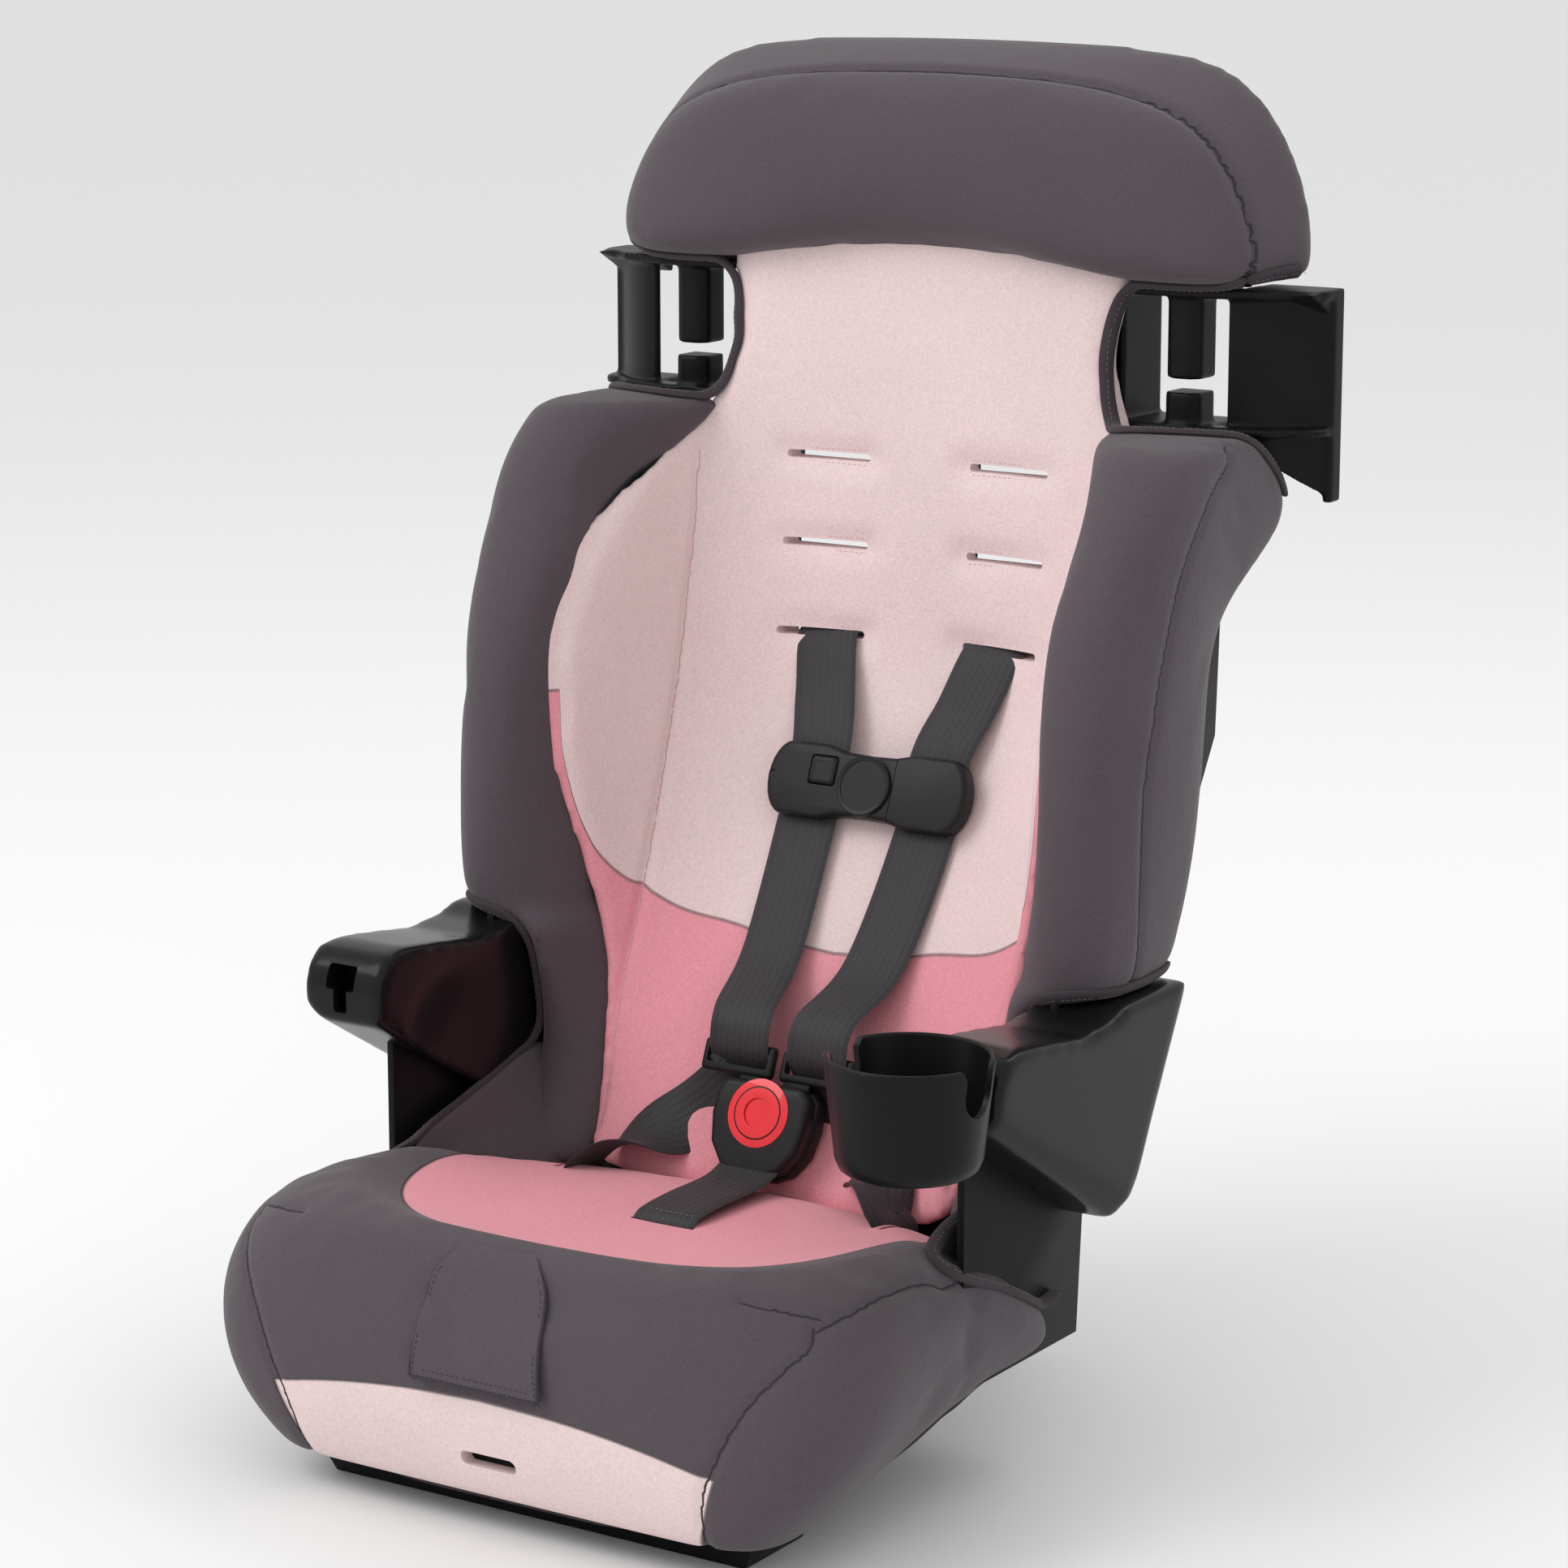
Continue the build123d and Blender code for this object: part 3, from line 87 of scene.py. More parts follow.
# ------------------------------------------------------------------ finishes
class Graph:
    """A material's node tree, with the few moves that all finishes share."""

    def __init__(self, name: str) -> None:
        """Starts a material of that name with an empty Principled shader."""
        self.material = bpy.data.materials.new(name)
        self.material.use_nodes = True
        self.tree = self.material.node_tree
        self.shader = self.tree.nodes["Principled BSDF"]

    def node(self, kind: str, **settings: object) -> bpy.types.Node:
        """Adds a node and sets its properties.

        Args:
            kind: the node's type without its ShaderNode prefix.
            settings: properties of the node.

        Returns:
            The new node.
        """
        made = self.tree.nodes.new("ShaderNode" + kind)
        for key, value in settings.items():
            setattr(made, key, value)
        return made

    def feed(self, socket: Socket, value: Socket | float | Colour) -> None:
        """Links a socket, or sets its value when it is given a number or a colour.

        Args:
            socket: the input to set.
            value: what goes into it.
        """
        if isinstance(value, bpy.types.NodeSocket):
            self.tree.links.new(value, socket)
        elif isinstance(value, tuple):
            socket.default_value = (*value, 1.0) if len(value) == 3 else value
        else:
            socket.default_value = value

    def math(self, operation: str, *values: Socket | float, clamp: bool = False) -> Socket:
        """Adds a Math node.

        Args:
            operation: Blender's name of the operation.
            values: its inputs, sockets or numbers.
            clamp: whether the result is held between 0 and 1.

        Returns:
            The result's socket.
        """
        made = self.node("Math", operation=operation, use_clamp=clamp)
        for socket, value in zip(made.inputs, values):
            self.feed(socket, value)
        return made.outputs[0]

    def place(self) -> tuple[Socket, Socket, Socket]:
        """The point's own X, Y and Z in millimetres."""
        split = self.node("SeparateXYZ")
        self.feed(split.inputs[0], self.node("TexCoord").outputs["Object"])
        return tuple(self.math("MULTIPLY", axis, 1 / MM) for axis in split.outputs)

    def curve(self, source: Socket, points: Sequence[tuple[float, float]]) -> Socket:
        """A smooth function through points.

        Args:
            source: the input.
            points: pairs of input and output, in rising order.

        Returns:
            The function's socket.
        """
        low, high = points[0][0], points[-1][0]
        top = max(value for _, value in points)
        share = self.math("DIVIDE", self.math("SUBTRACT", source, low), high - low, clamp=True)
        made = self.node("FloatCurve")
        line = made.mapping.curves[0]
        while len(line.points) > 2:
            line.points.remove(line.points[-1])
        ends = [((x - low) / (high - low), value / top) for x, value in points]
        line.points[0].location, line.points[1].location = ends[0], ends[-1]
        for spot in ends[1:-1]:
            line.points.new(*spot)
        made.mapping.update()
        self.feed(made.inputs["Value"], share)
        return self.math("MULTIPLY", made.outputs[0], top)

    def above(self, first: Socket | float, second: Socket | float, soft: float = 0.5) -> Socket:
        """A mask that is 1 where first is above second, with an edge soft millimetres wide.

        Args:
            first: the value that should be higher.
            second: the value it is held against.
            soft: half the width of the edge.

        Returns:
            The mask, from 0 to 1.
        """
        gap = self.math("SUBTRACT", first, second)
        return self.math("ADD", self.math("DIVIDE", gap, 2 * soft), 0.5, clamp=True)

    def line(self, first: Socket | float, second: Socket | float, half: float) -> Socket:
        """A mask that is 1 where two values are within half a millimetre count of each other.

        Args:
            first: a value.
            second: another value.
            half: how far apart they may be.

        Returns:
            The mask, from 0 to 1.
        """
        gap = self.math("ABSOLUTE", self.math("SUBTRACT", first, second))
        return self.math("SUBTRACT", 1.0, self.math("DIVIDE", gap, half), clamp=True)

    def mix(self, share: Socket | float, first: Socket | Colour, second: Socket | Colour) -> Socket:
        """Blends two colours by a share.

        Args:
            share: how much of the second colour shows.
            first: a colour.
            second: another colour.

        Returns:
            The blended colour.
        """
        made = self.node("Mix", data_type="RGBA")
        self.feed(made.inputs["Factor"], share)
        self.feed(made.inputs["A"], first)
        self.feed(made.inputs["B"], second)
        return made.outputs["Result"]

    def noise(self, scale: float, detail: float = 2.0, source: Socket | None = None) -> Socket:
        """Noise on the piece's own coordinates, or on a source.

        Args:
            scale: how many cells there are in a metre.
            detail: how fine it gets.
            source: coordinates in place of the piece's own.

        Returns:
            The noise, from 0 to 1.
        """
        made = self.node("TexNoise")
        made.inputs["Scale"].default_value = scale
        made.inputs["Detail"].default_value = detail
        self.feed(made.inputs["Vector"], source or self.node("TexCoord").outputs["Object"])
        return made.outputs[0]

    def bump(self, height: Socket, strength: float, distance: float) -> None:
        """Adds relief to the shader's normal, on top of what is there.

        Args:
            height: the relief, from 0 to 1.
            strength: how much of it shows.
            distance: its depth in metres.
        """
        made = self.node("Bump")
        made.inputs["Strength"].default_value = strength
        made.inputs["Distance"].default_value = distance
        self.feed(made.inputs["Height"], height)
        before = self.shader.inputs["Normal"].links
        if before:
            self.feed(made.inputs["Normal"], before[0].from_socket)
        self.feed(self.shader.inputs["Normal"], made.outputs[0])


Zone = Callable[[Graph], tuple[Socket, Colour]]
Seam = Callable[[Graph], Socket]


@dataclass(frozen=True)
class Fabric:
    """Brushed knit over foam: fine loops, soft sheen, colour zones and sewn seams."""

    name: str
    base: Colour
    zones: tuple[Zone, ...] = ()
    seams: tuple[Seam, ...] = ()
    sheen: float = 0.16
    loops: float = 620.0

    def material(self) -> bpy.types.Material:
        """Builds the fabric's material."""
        g = Graph(self.name)
        colour: Socket | Colour = self.base
        for zone in self.zones:
            mask, tint = zone(g)
            colour = g.mix(mask, colour, tint)
        heather = g.noise(self.loops, 3.0)
        cloudy = g.noise(9.0, 2.0)
        shade = g.math("ADD", g.math("MULTIPLY", heather, 0.34), g.math("MULTIPLY", cloudy, 0.16))
        light = g.math("ADD", shade, 0.75)
        tinted = g.node("Mix", data_type="RGBA", blend_type="MULTIPLY")
        g.feed(tinted.inputs["Factor"], 1.0)
        g.feed(tinted.inputs["A"], colour)
        grey = g.node("CombineColor")
        for socket in grey.inputs[:3]:
            g.feed(socket, light)
        g.feed(tinted.inputs["B"], grey.outputs[0])
        result = tinted.outputs["Result"]
        for seam in self.seams:
            mask = seam(g)
            result = g.mix(g.math("MULTIPLY", mask, 0.55), result, THREAD)
            g.bump(g.math("SUBTRACT", 1.0, mask), 0.8, 0.0016)
        g.feed(g.shader.inputs["Base Color"], result)
        g.shader.inputs["Roughness"].default_value = 0.86
        g.shader.inputs["Sheen Weight"].default_value = self.sheen
        g.shader.inputs["Sheen Roughness"].default_value = 0.45
        g.shader.inputs["Specular IOR Level"].default_value = 0.22
        g.bump(heather, 0.55, 0.0005)
        g.bump(g.noise(70.0, 2.0), 0.22, 0.0022)
        return g.material


@dataclass(frozen=True)
class Plastic:
    """Moulded plastic with a fine spark grain."""

    name: str
    colour: Colour
    roughness: float = 0.38
    grain: float = 1600.0
    relief: float = 0.12
    coat: float = 0.0
    shine: float = 0.22

    def material(self) -> bpy.types.Material:
        """Builds the plastic's material."""
        g = Graph(self.name)
        wear = g.noise(22.0, 4.0)
        edge = tuple(min(1.0, part * 1.5 + 0.004) for part in self.colour)
        g.feed(g.shader.inputs["Base Color"], g.mix(g.math("MULTIPLY", wear, 0.45), self.colour, edge))
        rough = g.math("ADD", g.math("MULTIPLY", wear, 0.14), self.roughness - 0.07)
        g.feed(g.shader.inputs["Roughness"], rough)
        g.shader.inputs["Coat Weight"].default_value = self.coat
        g.shader.inputs["Specular IOR Level"].default_value = self.shine
        g.bump(g.noise(self.grain, 3.0), self.relief, 0.0004)
        return g.material


@dataclass(frozen=True)
class Metal:
    """Zinc-plated steel, brushed one way."""

    name: str
    colour: Colour = (0.55, 0.55, 0.57)

    def material(self) -> bpy.types.Material:
        """Builds the metal's material."""
        g = Graph(self.name)
        stretch = g.node("Mapping")
        stretch.inputs["Scale"].default_value = (1.0, 12.0, 12.0)
        g.feed(stretch.inputs["Vector"], g.node("TexCoord").outputs["Object"])
        brushed = g.noise(160.0, 4.0, stretch.outputs[0])
        dark = tuple(part * 0.6 for part in self.colour)
        g.feed(g.shader.inputs["Base Color"], g.mix(brushed, dark, self.colour))
        g.shader.inputs["Metallic"].default_value = 1.0
        g.feed(g.shader.inputs["Roughness"], g.math("ADD", g.math("MULTIPLY", brushed, 0.25), 0.25))
        g.bump(brushed, 0.15, 0.0002)
        return g.material


@dataclass(frozen=True)
class Weave:
    """Black harness webbing, ribbed along its length on the piece's own UV map."""

    name: str
    colour: Colour = (0.016, 0.016, 0.018)
    ribs: float = 9.0
    picks: float = 900.0

    def material(self) -> bpy.types.Material:
        """Builds the webbing's material."""
        g = Graph(self.name)
        split = g.node("SeparateXYZ")
        g.feed(split.inputs[0], g.node("TexCoord").outputs["UV"])
        across, along = split.outputs[0], split.outputs[1]
        rib = g.math("SINE", g.math("MULTIPLY", across, self.ribs * 2 * pi))
        rib = g.math("ADD", g.math("MULTIPLY", rib, 0.5), 0.5)
        slant = g.math("ADD", g.math("MULTIPLY", along, self.picks * pi),
                       g.math("MULTIPLY", across, self.ribs * 4 * pi))
        pick = g.math("ADD", g.math("MULTIPLY", g.math("SINE", slant), 0.5), 0.5)
        pale = tuple(part * 2.1 for part in self.colour)
        tone = g.math("MULTIPLY", g.math("ADD", g.math("MULTIPLY", rib, 0.6), pick), 0.5)
        g.feed(g.shader.inputs["Base Color"], g.mix(tone, self.colour, pale))
        g.shader.inputs["Roughness"].default_value = 0.62
        g.shader.inputs["Sheen Weight"].default_value = 0.06
        g.bump(rib, 0.4, 0.0005)
        g.bump(pick, 0.5, 0.0003)
        return g.material


# ------------------------------------------------------------------ colour zones of the cover
BACK_SEAM_HIGH = ((0, 236), (60, 243), (118, 259), (132, 274), (146, 312), (153, 374))
FRONT_BAND_TOP = ((0, 77), (70, 72), (140, 59))


PATCH_HALF, PATCH_LONG = 141.0, 148.0  # the seat's pink patch, half its width and its length
PATCH_MIDDLE = 90.0  # how far in front of the frame's origin its middle lies
PATCH_SQUARE, PATCH_ROOT = 2.3, 0.435  # how square its corners are
PATCH_EDGE, PATCH_LOW = 145.0, 108.0  # the rim's measure, and the height that it ends at
BAND_HALF, BAND_SLANT, BAND_REAR = 113.0, 0.38, -236.0  # the pale front band


def back_pink(g: Graph) -> tuple[Socket, Colour]:
    """The deeper pink low on the back, under its curved seam."""
    x, _, z = g.place()
    return g.above(g.curve(g.math("ABSOLUTE", x), BACK_SEAM_HIGH), z), PINK


def back_seam(g: Graph) -> Socket:
    """The curved seam between the two pinks of the back."""
    x, _, z = g.place()
    return g.line(g.curve(g.math("ABSOLUTE", x), BACK_SEAM_HIGH), z, 1.1)


def seat_rim(g: Graph) -> Socket:
    """A measure that is PATCH_EDGE on the edge of the seat's pink patch, and less inside it."""
    x, y, _ = g.place()
    wide = g.math("POWER", g.math("DIVIDE", g.math("ABSOLUTE", x), PATCH_HALF), PATCH_SQUARE)
    ahead = g.math("ABSOLUTE", g.math("ADD", y, PATCH_MIDDLE))
    deep = g.math("POWER", g.math("DIVIDE", ahead, PATCH_LONG), PATCH_SQUARE)
    return g.math("MULTIPLY", g.math("POWER", g.math("ADD", wide, deep), PATCH_ROOT), PATCH_EDGE)


def seat_pink(g: Graph) -> tuple[Socket, Colour]:
    """The pink patch on top of the seat."""
    _, _, z = g.place()
    return g.math("MULTIPLY", g.above(PATCH_EDGE, seat_rim(g)), g.above(z, PATCH_LOW)), PINK


def seat_seam(g: Graph) -> Socket:
    """The seam round the seat's pink patch."""
    _, _, z = g.place()
    return g.math("MULTIPLY", g.line(seat_rim(g), PATCH_EDGE, 1.2), g.above(z, PATCH_LOW))


def band_edges(g: Graph) -> tuple[Socket, Socket, Socket]:
    """Signed room inside the pale front band: under its top, inside its ends, and in front."""
    x, y, z = g.place()
    across = g.math("ABSOLUTE", x)
    under = g.math("SUBTRACT", g.curve(across, FRONT_BAND_TOP), z)
    ends = g.math("SUBTRACT", g.math("ADD", g.math("MULTIPLY", z, BAND_SLANT), BAND_HALF), across)
    return under, ends, g.above(BAND_REAR, y, 1.0)


def band_pink(g: Graph) -> tuple[Socket, Colour]:
    """The pale band low on the front."""
    under, ends, front = band_edges(g)
    inside = g.math("MINIMUM", under, ends)
    return g.math("MULTIPLY", g.above(inside, 0.0), front), LIGHT_PINK


def band_seam(g: Graph) -> Socket:
    """The seam round the pale front band."""
    under, ends, front = band_edges(g)
    return g.math("MULTIPLY", g.line(g.math("MINIMUM", under, ends), 0.0, 1.0), front)


FINISHES = {
    "back": Fabric("knit_back", LIGHT_PINK, (back_pink,), (back_seam,), sheen=0.1),
    "seat": Fabric("knit_seat", CHARCOAL, (seat_pink, band_pink), (seat_seam, band_seam)),
    "charcoal": Fabric("knit_charcoal", CHARCOAL),
    "binding": Fabric("bound_edge", (0.050, 0.040, 0.047), loops=1500.0, sheen=0.1),
    "thread": Plastic("sewing_thread", THREAD, 0.7, 3000.0),
    "back_thread": Plastic("pale_thread", (0.52, 0.30, 0.32), 0.7, 3000.0),
    "binding_thread": Plastic("binding_thread", (0.16, 0.135, 0.15), 0.7, 3000.0),
    "pull_strap": Plastic("pull_strap", (0.018, 0.018, 0.02), 0.65, 700.0, 0.5),
    "shell": Plastic("moulded_shell", (0.005, 0.005, 0.0055), 0.42, shine=0.12),
    "arm": Plastic("moulded_arm", (0.005, 0.005, 0.0055), 0.26, 2200.0, 0.05, 0.06, 0.16),
    "cup": Plastic("moulded_cup", (0.005, 0.005, 0.0055), 0.34, 1800.0, 0.08, shine=0.14),
    "buckle": Plastic("moulded_buckle", (0.011, 0.011, 0.012), 0.40),
    "red": Plastic("red_button", RED, 0.25, 2600.0, 0.03, 0.5),
    "steel": Metal("zinc_plate"),
    "webbing": Weave("ribbed_webbing"),
}
_made: dict[str, bpy.types.Material] = {}


def finish_of(name: str) -> bpy.types.Material:
    """The material of that name, built once."""
    if name not in _made:
        _made[name] = FINISHES[name].material()
    return _made[name]


# ------------------------------------------------------------------ bench: shared modelling moves
def solo(piece: bpy.types.Object) -> None:
    """Selects one object alone and makes it active."""
    bpy.ops.object.select_all(action="DESELECT")
    piece.select_set(True)
    bpy.context.view_layer.objects.active = piece


def apply_modifier(piece: bpy.types.Object, kind: str, **settings: object) -> None:
    """Adds a modifier, sets it and applies it.

    Args:
        piece: the object to change.
        kind: Blender's modifier type.
        settings: the modifier's properties.
    """
    solo(piece)
    made = piece.modifiers.new(kind.title(), kind)
    for key, value in settings.items():
        setattr(made, key, value)
    bpy.ops.object.modifier_apply(modifier=made.name)


def smooth(piece: bpy.types.Object, angle: float = 40.0) -> None:
    """Shades a piece smooth, with edges over angle degrees kept."""
    solo(piece)
    bpy.ops.object.shade_smooth_by_angle(angle=radians(angle))


def round_edges(piece: bpy.types.Object, width: float, segments: int = 3, angle: float = 30.0) -> None:
    """Rounds a piece's edges by width millimetres."""
    apply_modifier(piece, "BEVEL", width=width * MM, segments=segments, limit_method="ANGLE",
                   angle_limit=radians(angle), harden_normals=False)


def carve(piece: bpy.types.Object, cutter: bpy.types.Object) -> None:
    """Cuts one solid out of another and removes the cutter."""
    apply_modifier(piece, "BOOLEAN", operation="DIFFERENCE", object=cutter, solver="EXACT")
    bpy.data.objects.remove(cutter)


def fuse(piece: bpy.types.Object, other: bpy.types.Object) -> None:
    """Joins another solid to a piece, as one closed skin."""
    apply_modifier(piece, "BOOLEAN", operation="UNION", object=other, solver="EXACT")
    bpy.data.objects.remove(other)


def settle(piece: bpy.types.Object, matrix: Matrix | None = None) -> bpy.types.Object:
    """Puts a piece's place into its mesh, after an optional turn or move.

    Args:
        piece: the object.
        matrix: a further turn or move.

    Returns:
        The same object, unturned and at the origin.
    """
    bpy.context.view_layer.update()
    piece.data.transform((matrix or Matrix.Identity(4)) @ piece.matrix_world)
    piece.matrix_world = Matrix.Identity(4)
    return piece


def box(name: str, low: Point, high: Point) -> bpy.types.Object:
    """A box between two corners, in millimetres.

    Args:
        name: the piece's name.
        low: its lowest corner.
        high: its highest corner.

    Returns:
        The box.
    """
    middle = [(a + b) / 2 * MM for a, b in zip(low, high)]
    size = [(b - a) * MM for a, b in zip(low, high)]
    bpy.ops.object.select_all(action="DESELECT")
    bpy.ops.mesh.primitive_cube_add(size=1, location=middle, scale=size)
    piece = bpy.context.object
    piece.name = name
    return settle(piece)


def drum(name: str, centre: Point, radius: float, tall: float, sides: int = 64) -> bpy.types.Object:
    """An upright cylinder about its middle, in millimetres.

    Args:
        name: the piece's name.
        centre: its middle.
        radius: its radius.
        tall: its height.
        sides: how many flats it has.

    Returns:
        The cylinder.
    """
    bpy.ops.object.select_all(action="DESELECT")
    bpy.ops.mesh.primitive_cylinder_add(vertices=sides, radius=radius * MM, depth=tall * MM,
                                        location=[part * MM for part in centre])
    piece = bpy.context.object
    piece.name = name
    return settle(piece)


def slab(name: str, outline: Sequence[tuple[float, float]], low: float, high: float,
         along: str = "Z") -> bpy.types.Object:
    """A flat outline drawn out between two planes.

    Args:
        name: the piece's name.
        outline: its corners, in the plane's own two axes: (x, y), (y, z) or (x, z).
        low: where the first face lies on the third axis.
        high: where the second face lies.
        along: the third axis, Z, X or Y.

    Returns:
        The closed solid.
    """
    order = {"Z": lambda a, b, c: (a, b, c), "X": lambda a, b, c: (c, a, b),
             "Y": lambda a, b, c: (a, c, b)}[along]
    bpy.ops.object.select_all(action="DESELECT")
    bpy.ops.mesh.primitive_circle_add(vertices=len(outline), fill_type="NGON")
    piece = bpy.context.object
    piece.name = name
    piece.location = (0, 0, 0)
    for vertex, (first, second) in zip(piece.data.vertices, outline):
        vertex.co = Vector(order(first, second, low)) * MM
    bpy.ops.object.mode_set(mode="EDIT")
    bpy.ops.mesh.select_all(action="SELECT")
    step = Vector(order(0, 0, high - low)) * MM
    bpy.ops.mesh.extrude_region_move(TRANSFORM_OT_translate={"value": step})
    bpy.ops.mesh.select_all(action="SELECT")
    bpy.ops.mesh.normals_make_consistent(inside=False)
    bpy.ops.object.mode_set(mode="OBJECT")
    return piece


def choose_faces(piece: bpy.types.Object, test: Callable[[Vector, Vector], bool]) -> None:
    """Enters edit mode with only those faces selected whose middle and normal pass a test.

    Args:
        piece: the object to edit.
        test: says of a face's middle in millimetres and its normal whether it is chosen.
    """
    solo(piece)
    bpy.ops.object.mode_set(mode="EDIT")
    bpy.ops.mesh.select_mode(type="FACE")
    bpy.ops.mesh.select_all(action="DESELECT")
    mesh = bmesh.from_edit_mesh(piece.data)
    for face in mesh.faces:
        face.select_set(test(face.calc_center_median() / MM, face.normal))
    bmesh.update_edit_mesh(piece.data)


def dish(piece: bpy.types.Object, test: Callable[[Vector, Vector], bool], margin: float,
         depth: float) -> None:
    """Insets chosen faces by a margin and sinks them by a depth, in millimetres.

    Args:
        piece: the object.
        test: which faces are dished.
        margin: how wide the rim is.
        depth: how far the rest sinks.
    """
    choose_faces(piece, test)
    bpy.ops.mesh.inset(thickness=margin * MM, depth=-depth * MM)
    bpy.ops.object.mode_set(mode="OBJECT")


def skin(name: str, points: Sequence[Point], faces: Sequence[Sequence[int]]) -> bpy.types.Object:
    """A mesh object from points in millimetres.

    Args:
        name: the object's name.
        points: its points.
        faces: rows of point numbers.

    Returns:
        The object, its faces outwards.
    """
    mesh = bpy.data.meshes.new(name)
    mesh.from_pydata([Vector(point) * MM for point in points], [], [list(face) for face in faces])
    piece = bpy.data.objects.new(name, mesh)
    bpy.context.scene.collection.objects.link(piece)
    solo(piece)
    bpy.ops.object.mode_set(mode="EDIT")
    bpy.ops.mesh.select_all(action="SELECT")
    bpy.ops.mesh.normals_make_consistent(inside=False)
    bpy.ops.object.mode_set(mode="OBJECT")
    return piece


def loft(name: str, rings: Sequence[Ring]) -> bpy.types.Object:
    """A closed skin through rings that all have the same number of points.

    Args:
        name: the piece's name.
        rings: the rings, in order.

    Returns:
        The closed skin.
    """
    count = len(rings[0])
    points = [point for ring in rings for point in ring]
    faces = [
        (low + i, low + (i + 1) % count, low + count + (i + 1) % count, low + count + i)
        for low in range(0, count * (len(rings) - 1), count)
        for i in range(count)
    ]
    last = count * (len(rings) - 1)
    faces += [tuple(range(count)), tuple(range(last, last + count))]
    return skin(name, points, faces)


def mirrored(half: Sequence[tuple[float, float]], z: float) -> Ring:
    """A level ring from its right half, which runs from the centre line to the centre line."""
    right = [(x, y, z) for x, y in half]
    return right + [(-x, y, z) for x, y in reversed(half[1:-1])]


def between(value: float, knots: Sequence[tuple[float, ...]]) -> list[float]:
    """Values read from rows of (key, value, ...), straight between rows."""
    keys = [row[0] for row in knots]
    return [float(np.interp(value, keys, [row[i] for row in knots])) for i in range(1, len(knots[0]))]


def spline(points: Sequence[Point], step: float = 2.0) -> list[Vector]:
    """A smooth line through points, cut at about every step millimetres.

    Args:
        points: the places that it runs through.
        step: how far apart its own points are.

    Returns:
        The line's points.
    """
    spots = [Vector(point) for point in points]
    spots = [2 * spots[0] - spots[1], *spots, 2 * spots[-1] - spots[-2]]
    line: list[Vector] = []
    for a, b, c, d in zip(spots, spots[1:], spots[2:], spots[3:]):
        pieces = max(2, round((c - b).length / step))
        for i in range(pieces):
            t = i / pieces
            line.append(0.5 * (2 * b + (c - a) * t + (2 * a - 5 * b + 4 * c - d) * t * t
                               + (3 * b - a - 3 * c + d) * t * t * t))
    return [*line, spots[-2]]


def surface_of(piece: bpy.types.Object) -> BVHTree:
    """A piece's skin, for finding its nearest points."""
    bpy.context.view_layer.update()
    return BVHTree.FromObject(piece, bpy.context.evaluated_depsgraph_get())


def laid_on(line: Iterable[Vector], ground: BVHTree, stand: float) -> tuple[list[Vector], list[Vector]]:
    """A line moved to the nearest places of a skin.

    Args:
        line: its points, in millimetres.
        ground: the skin.
        stand: how far the line stands off it, in millimetres.

    Returns:
        The points in millimetres, and the skin's normals there.
    """
    places, normals = [], []
    for point in line:
        spot, normal, _, _ = ground.find_nearest(point * MM)
        places.append(spot / MM + normal * stand)
        normals.append(normal)
    return places, normals


def tube(name: str, line: Sequence[Vector], normals: Sequence[Vector], wide: float, thick: float,
         sides: int = 10) -> bpy.types.Object:
    """An oval tube along a line, flat side to the normals.

    Args:
        name: the piece's name.
        line: its middle line in millimetres.
        normals: the direction of its thickness at each point.
        wide: half its width.
        thick: half its thickness.
        sides: points round it.

    Returns:
        The closed tube.
    """
    last = len(line) - 1
    rings: list[Ring] = []
    for i, (spot, normal) in enumerate(zip(line, normals)):
        ahead = (line[min(i + 1, last)] - line[max(i - 1, 0)]).normalized()
        across = ahead.cross(normal).normalized()
        out = across.cross(ahead)
        taper = TUBE_TIP if i in (0, last) else 1.0
        turns = [2 * pi * k / sides for k in range(sides)]
        rings.append([tuple(spot + (across * wide * cos(turn) + out * thick * sin(turn)) * taper)
                      for turn in turns])
    return loft(name, rings)


def stitches(name: str, line: Sequence[Vector], normals: Sequence[Vector], pitch: float = 3.4,
             length: float = 2.3, half: float = 0.32) -> bpy.types.Object:
    """A row of thread stitches along a line, each a short closed lozenge.

    Args:
        name: the piece's name.
        line: the line in millimetres.
        normals: which way is out at each point.
        pitch: from one stitch to the next.
        length: of one stitch.
        half: half a stitch's thickness.

    Returns:
        One mesh of all the stitches.
    """
    points: list[Point] = []
    faces: list[tuple[int, ...]] = []
    run = 0.0
    for i in range(1, len(line)):
        run += (line[i] - line[i - 1]).length
        if run < pitch:
            continue
        run -= pitch
        ahead = (line[i] - line[i - 1]).normalized() * length / 2
        across = ahead.normalized().cross(normals[i]) * half
        out = normals[i] * half
        low = len(points)
        spot = line[i]
        points += [tuple(spot + way) for way in (-ahead, across, out, -across, -out, ahead)]
        faces += [(low, low + a, low + b) for a, b in ((1, 2), (2, 3), (3, 4), (4, 1))]
        faces += [(low + 5, low + b, low + a) for a, b in ((1, 2), (2, 3), (3, 4), (4, 1))]
    return skin(name, points, faces)


def press(piece: bpy.types.Object, lines: Sequence[Sequence[Vector]], depth: float, width: float) -> None:
    """Sinks a skin along lines, as a seam or stitched slot pulls foam in.

    Args:
        piece: the padded piece.
        lines: the lines in millimetres.
        depth: how far the skin sinks on the line, in millimetres.
        width: how far from the line the pull reaches.
    """
    spots = [spot for line in lines for spot in line]
    tree = KDTree(len(spots))
    for i, spot in enumerate(spots):
        tree.insert(spot * MM, i)
    tree.balance()
    moves = {}
    for vertex in piece.data.vertices:
        _, _, gap = tree.find(vertex.co)
        if gap < 3 * width * MM:
            moves[vertex.index] = vertex.normal * (depth * MM * exp(-((gap / MM / width) ** 2)))
    for index, move in moves.items():
        piece.data.vertices[index].co -= move
    piece.data.update()


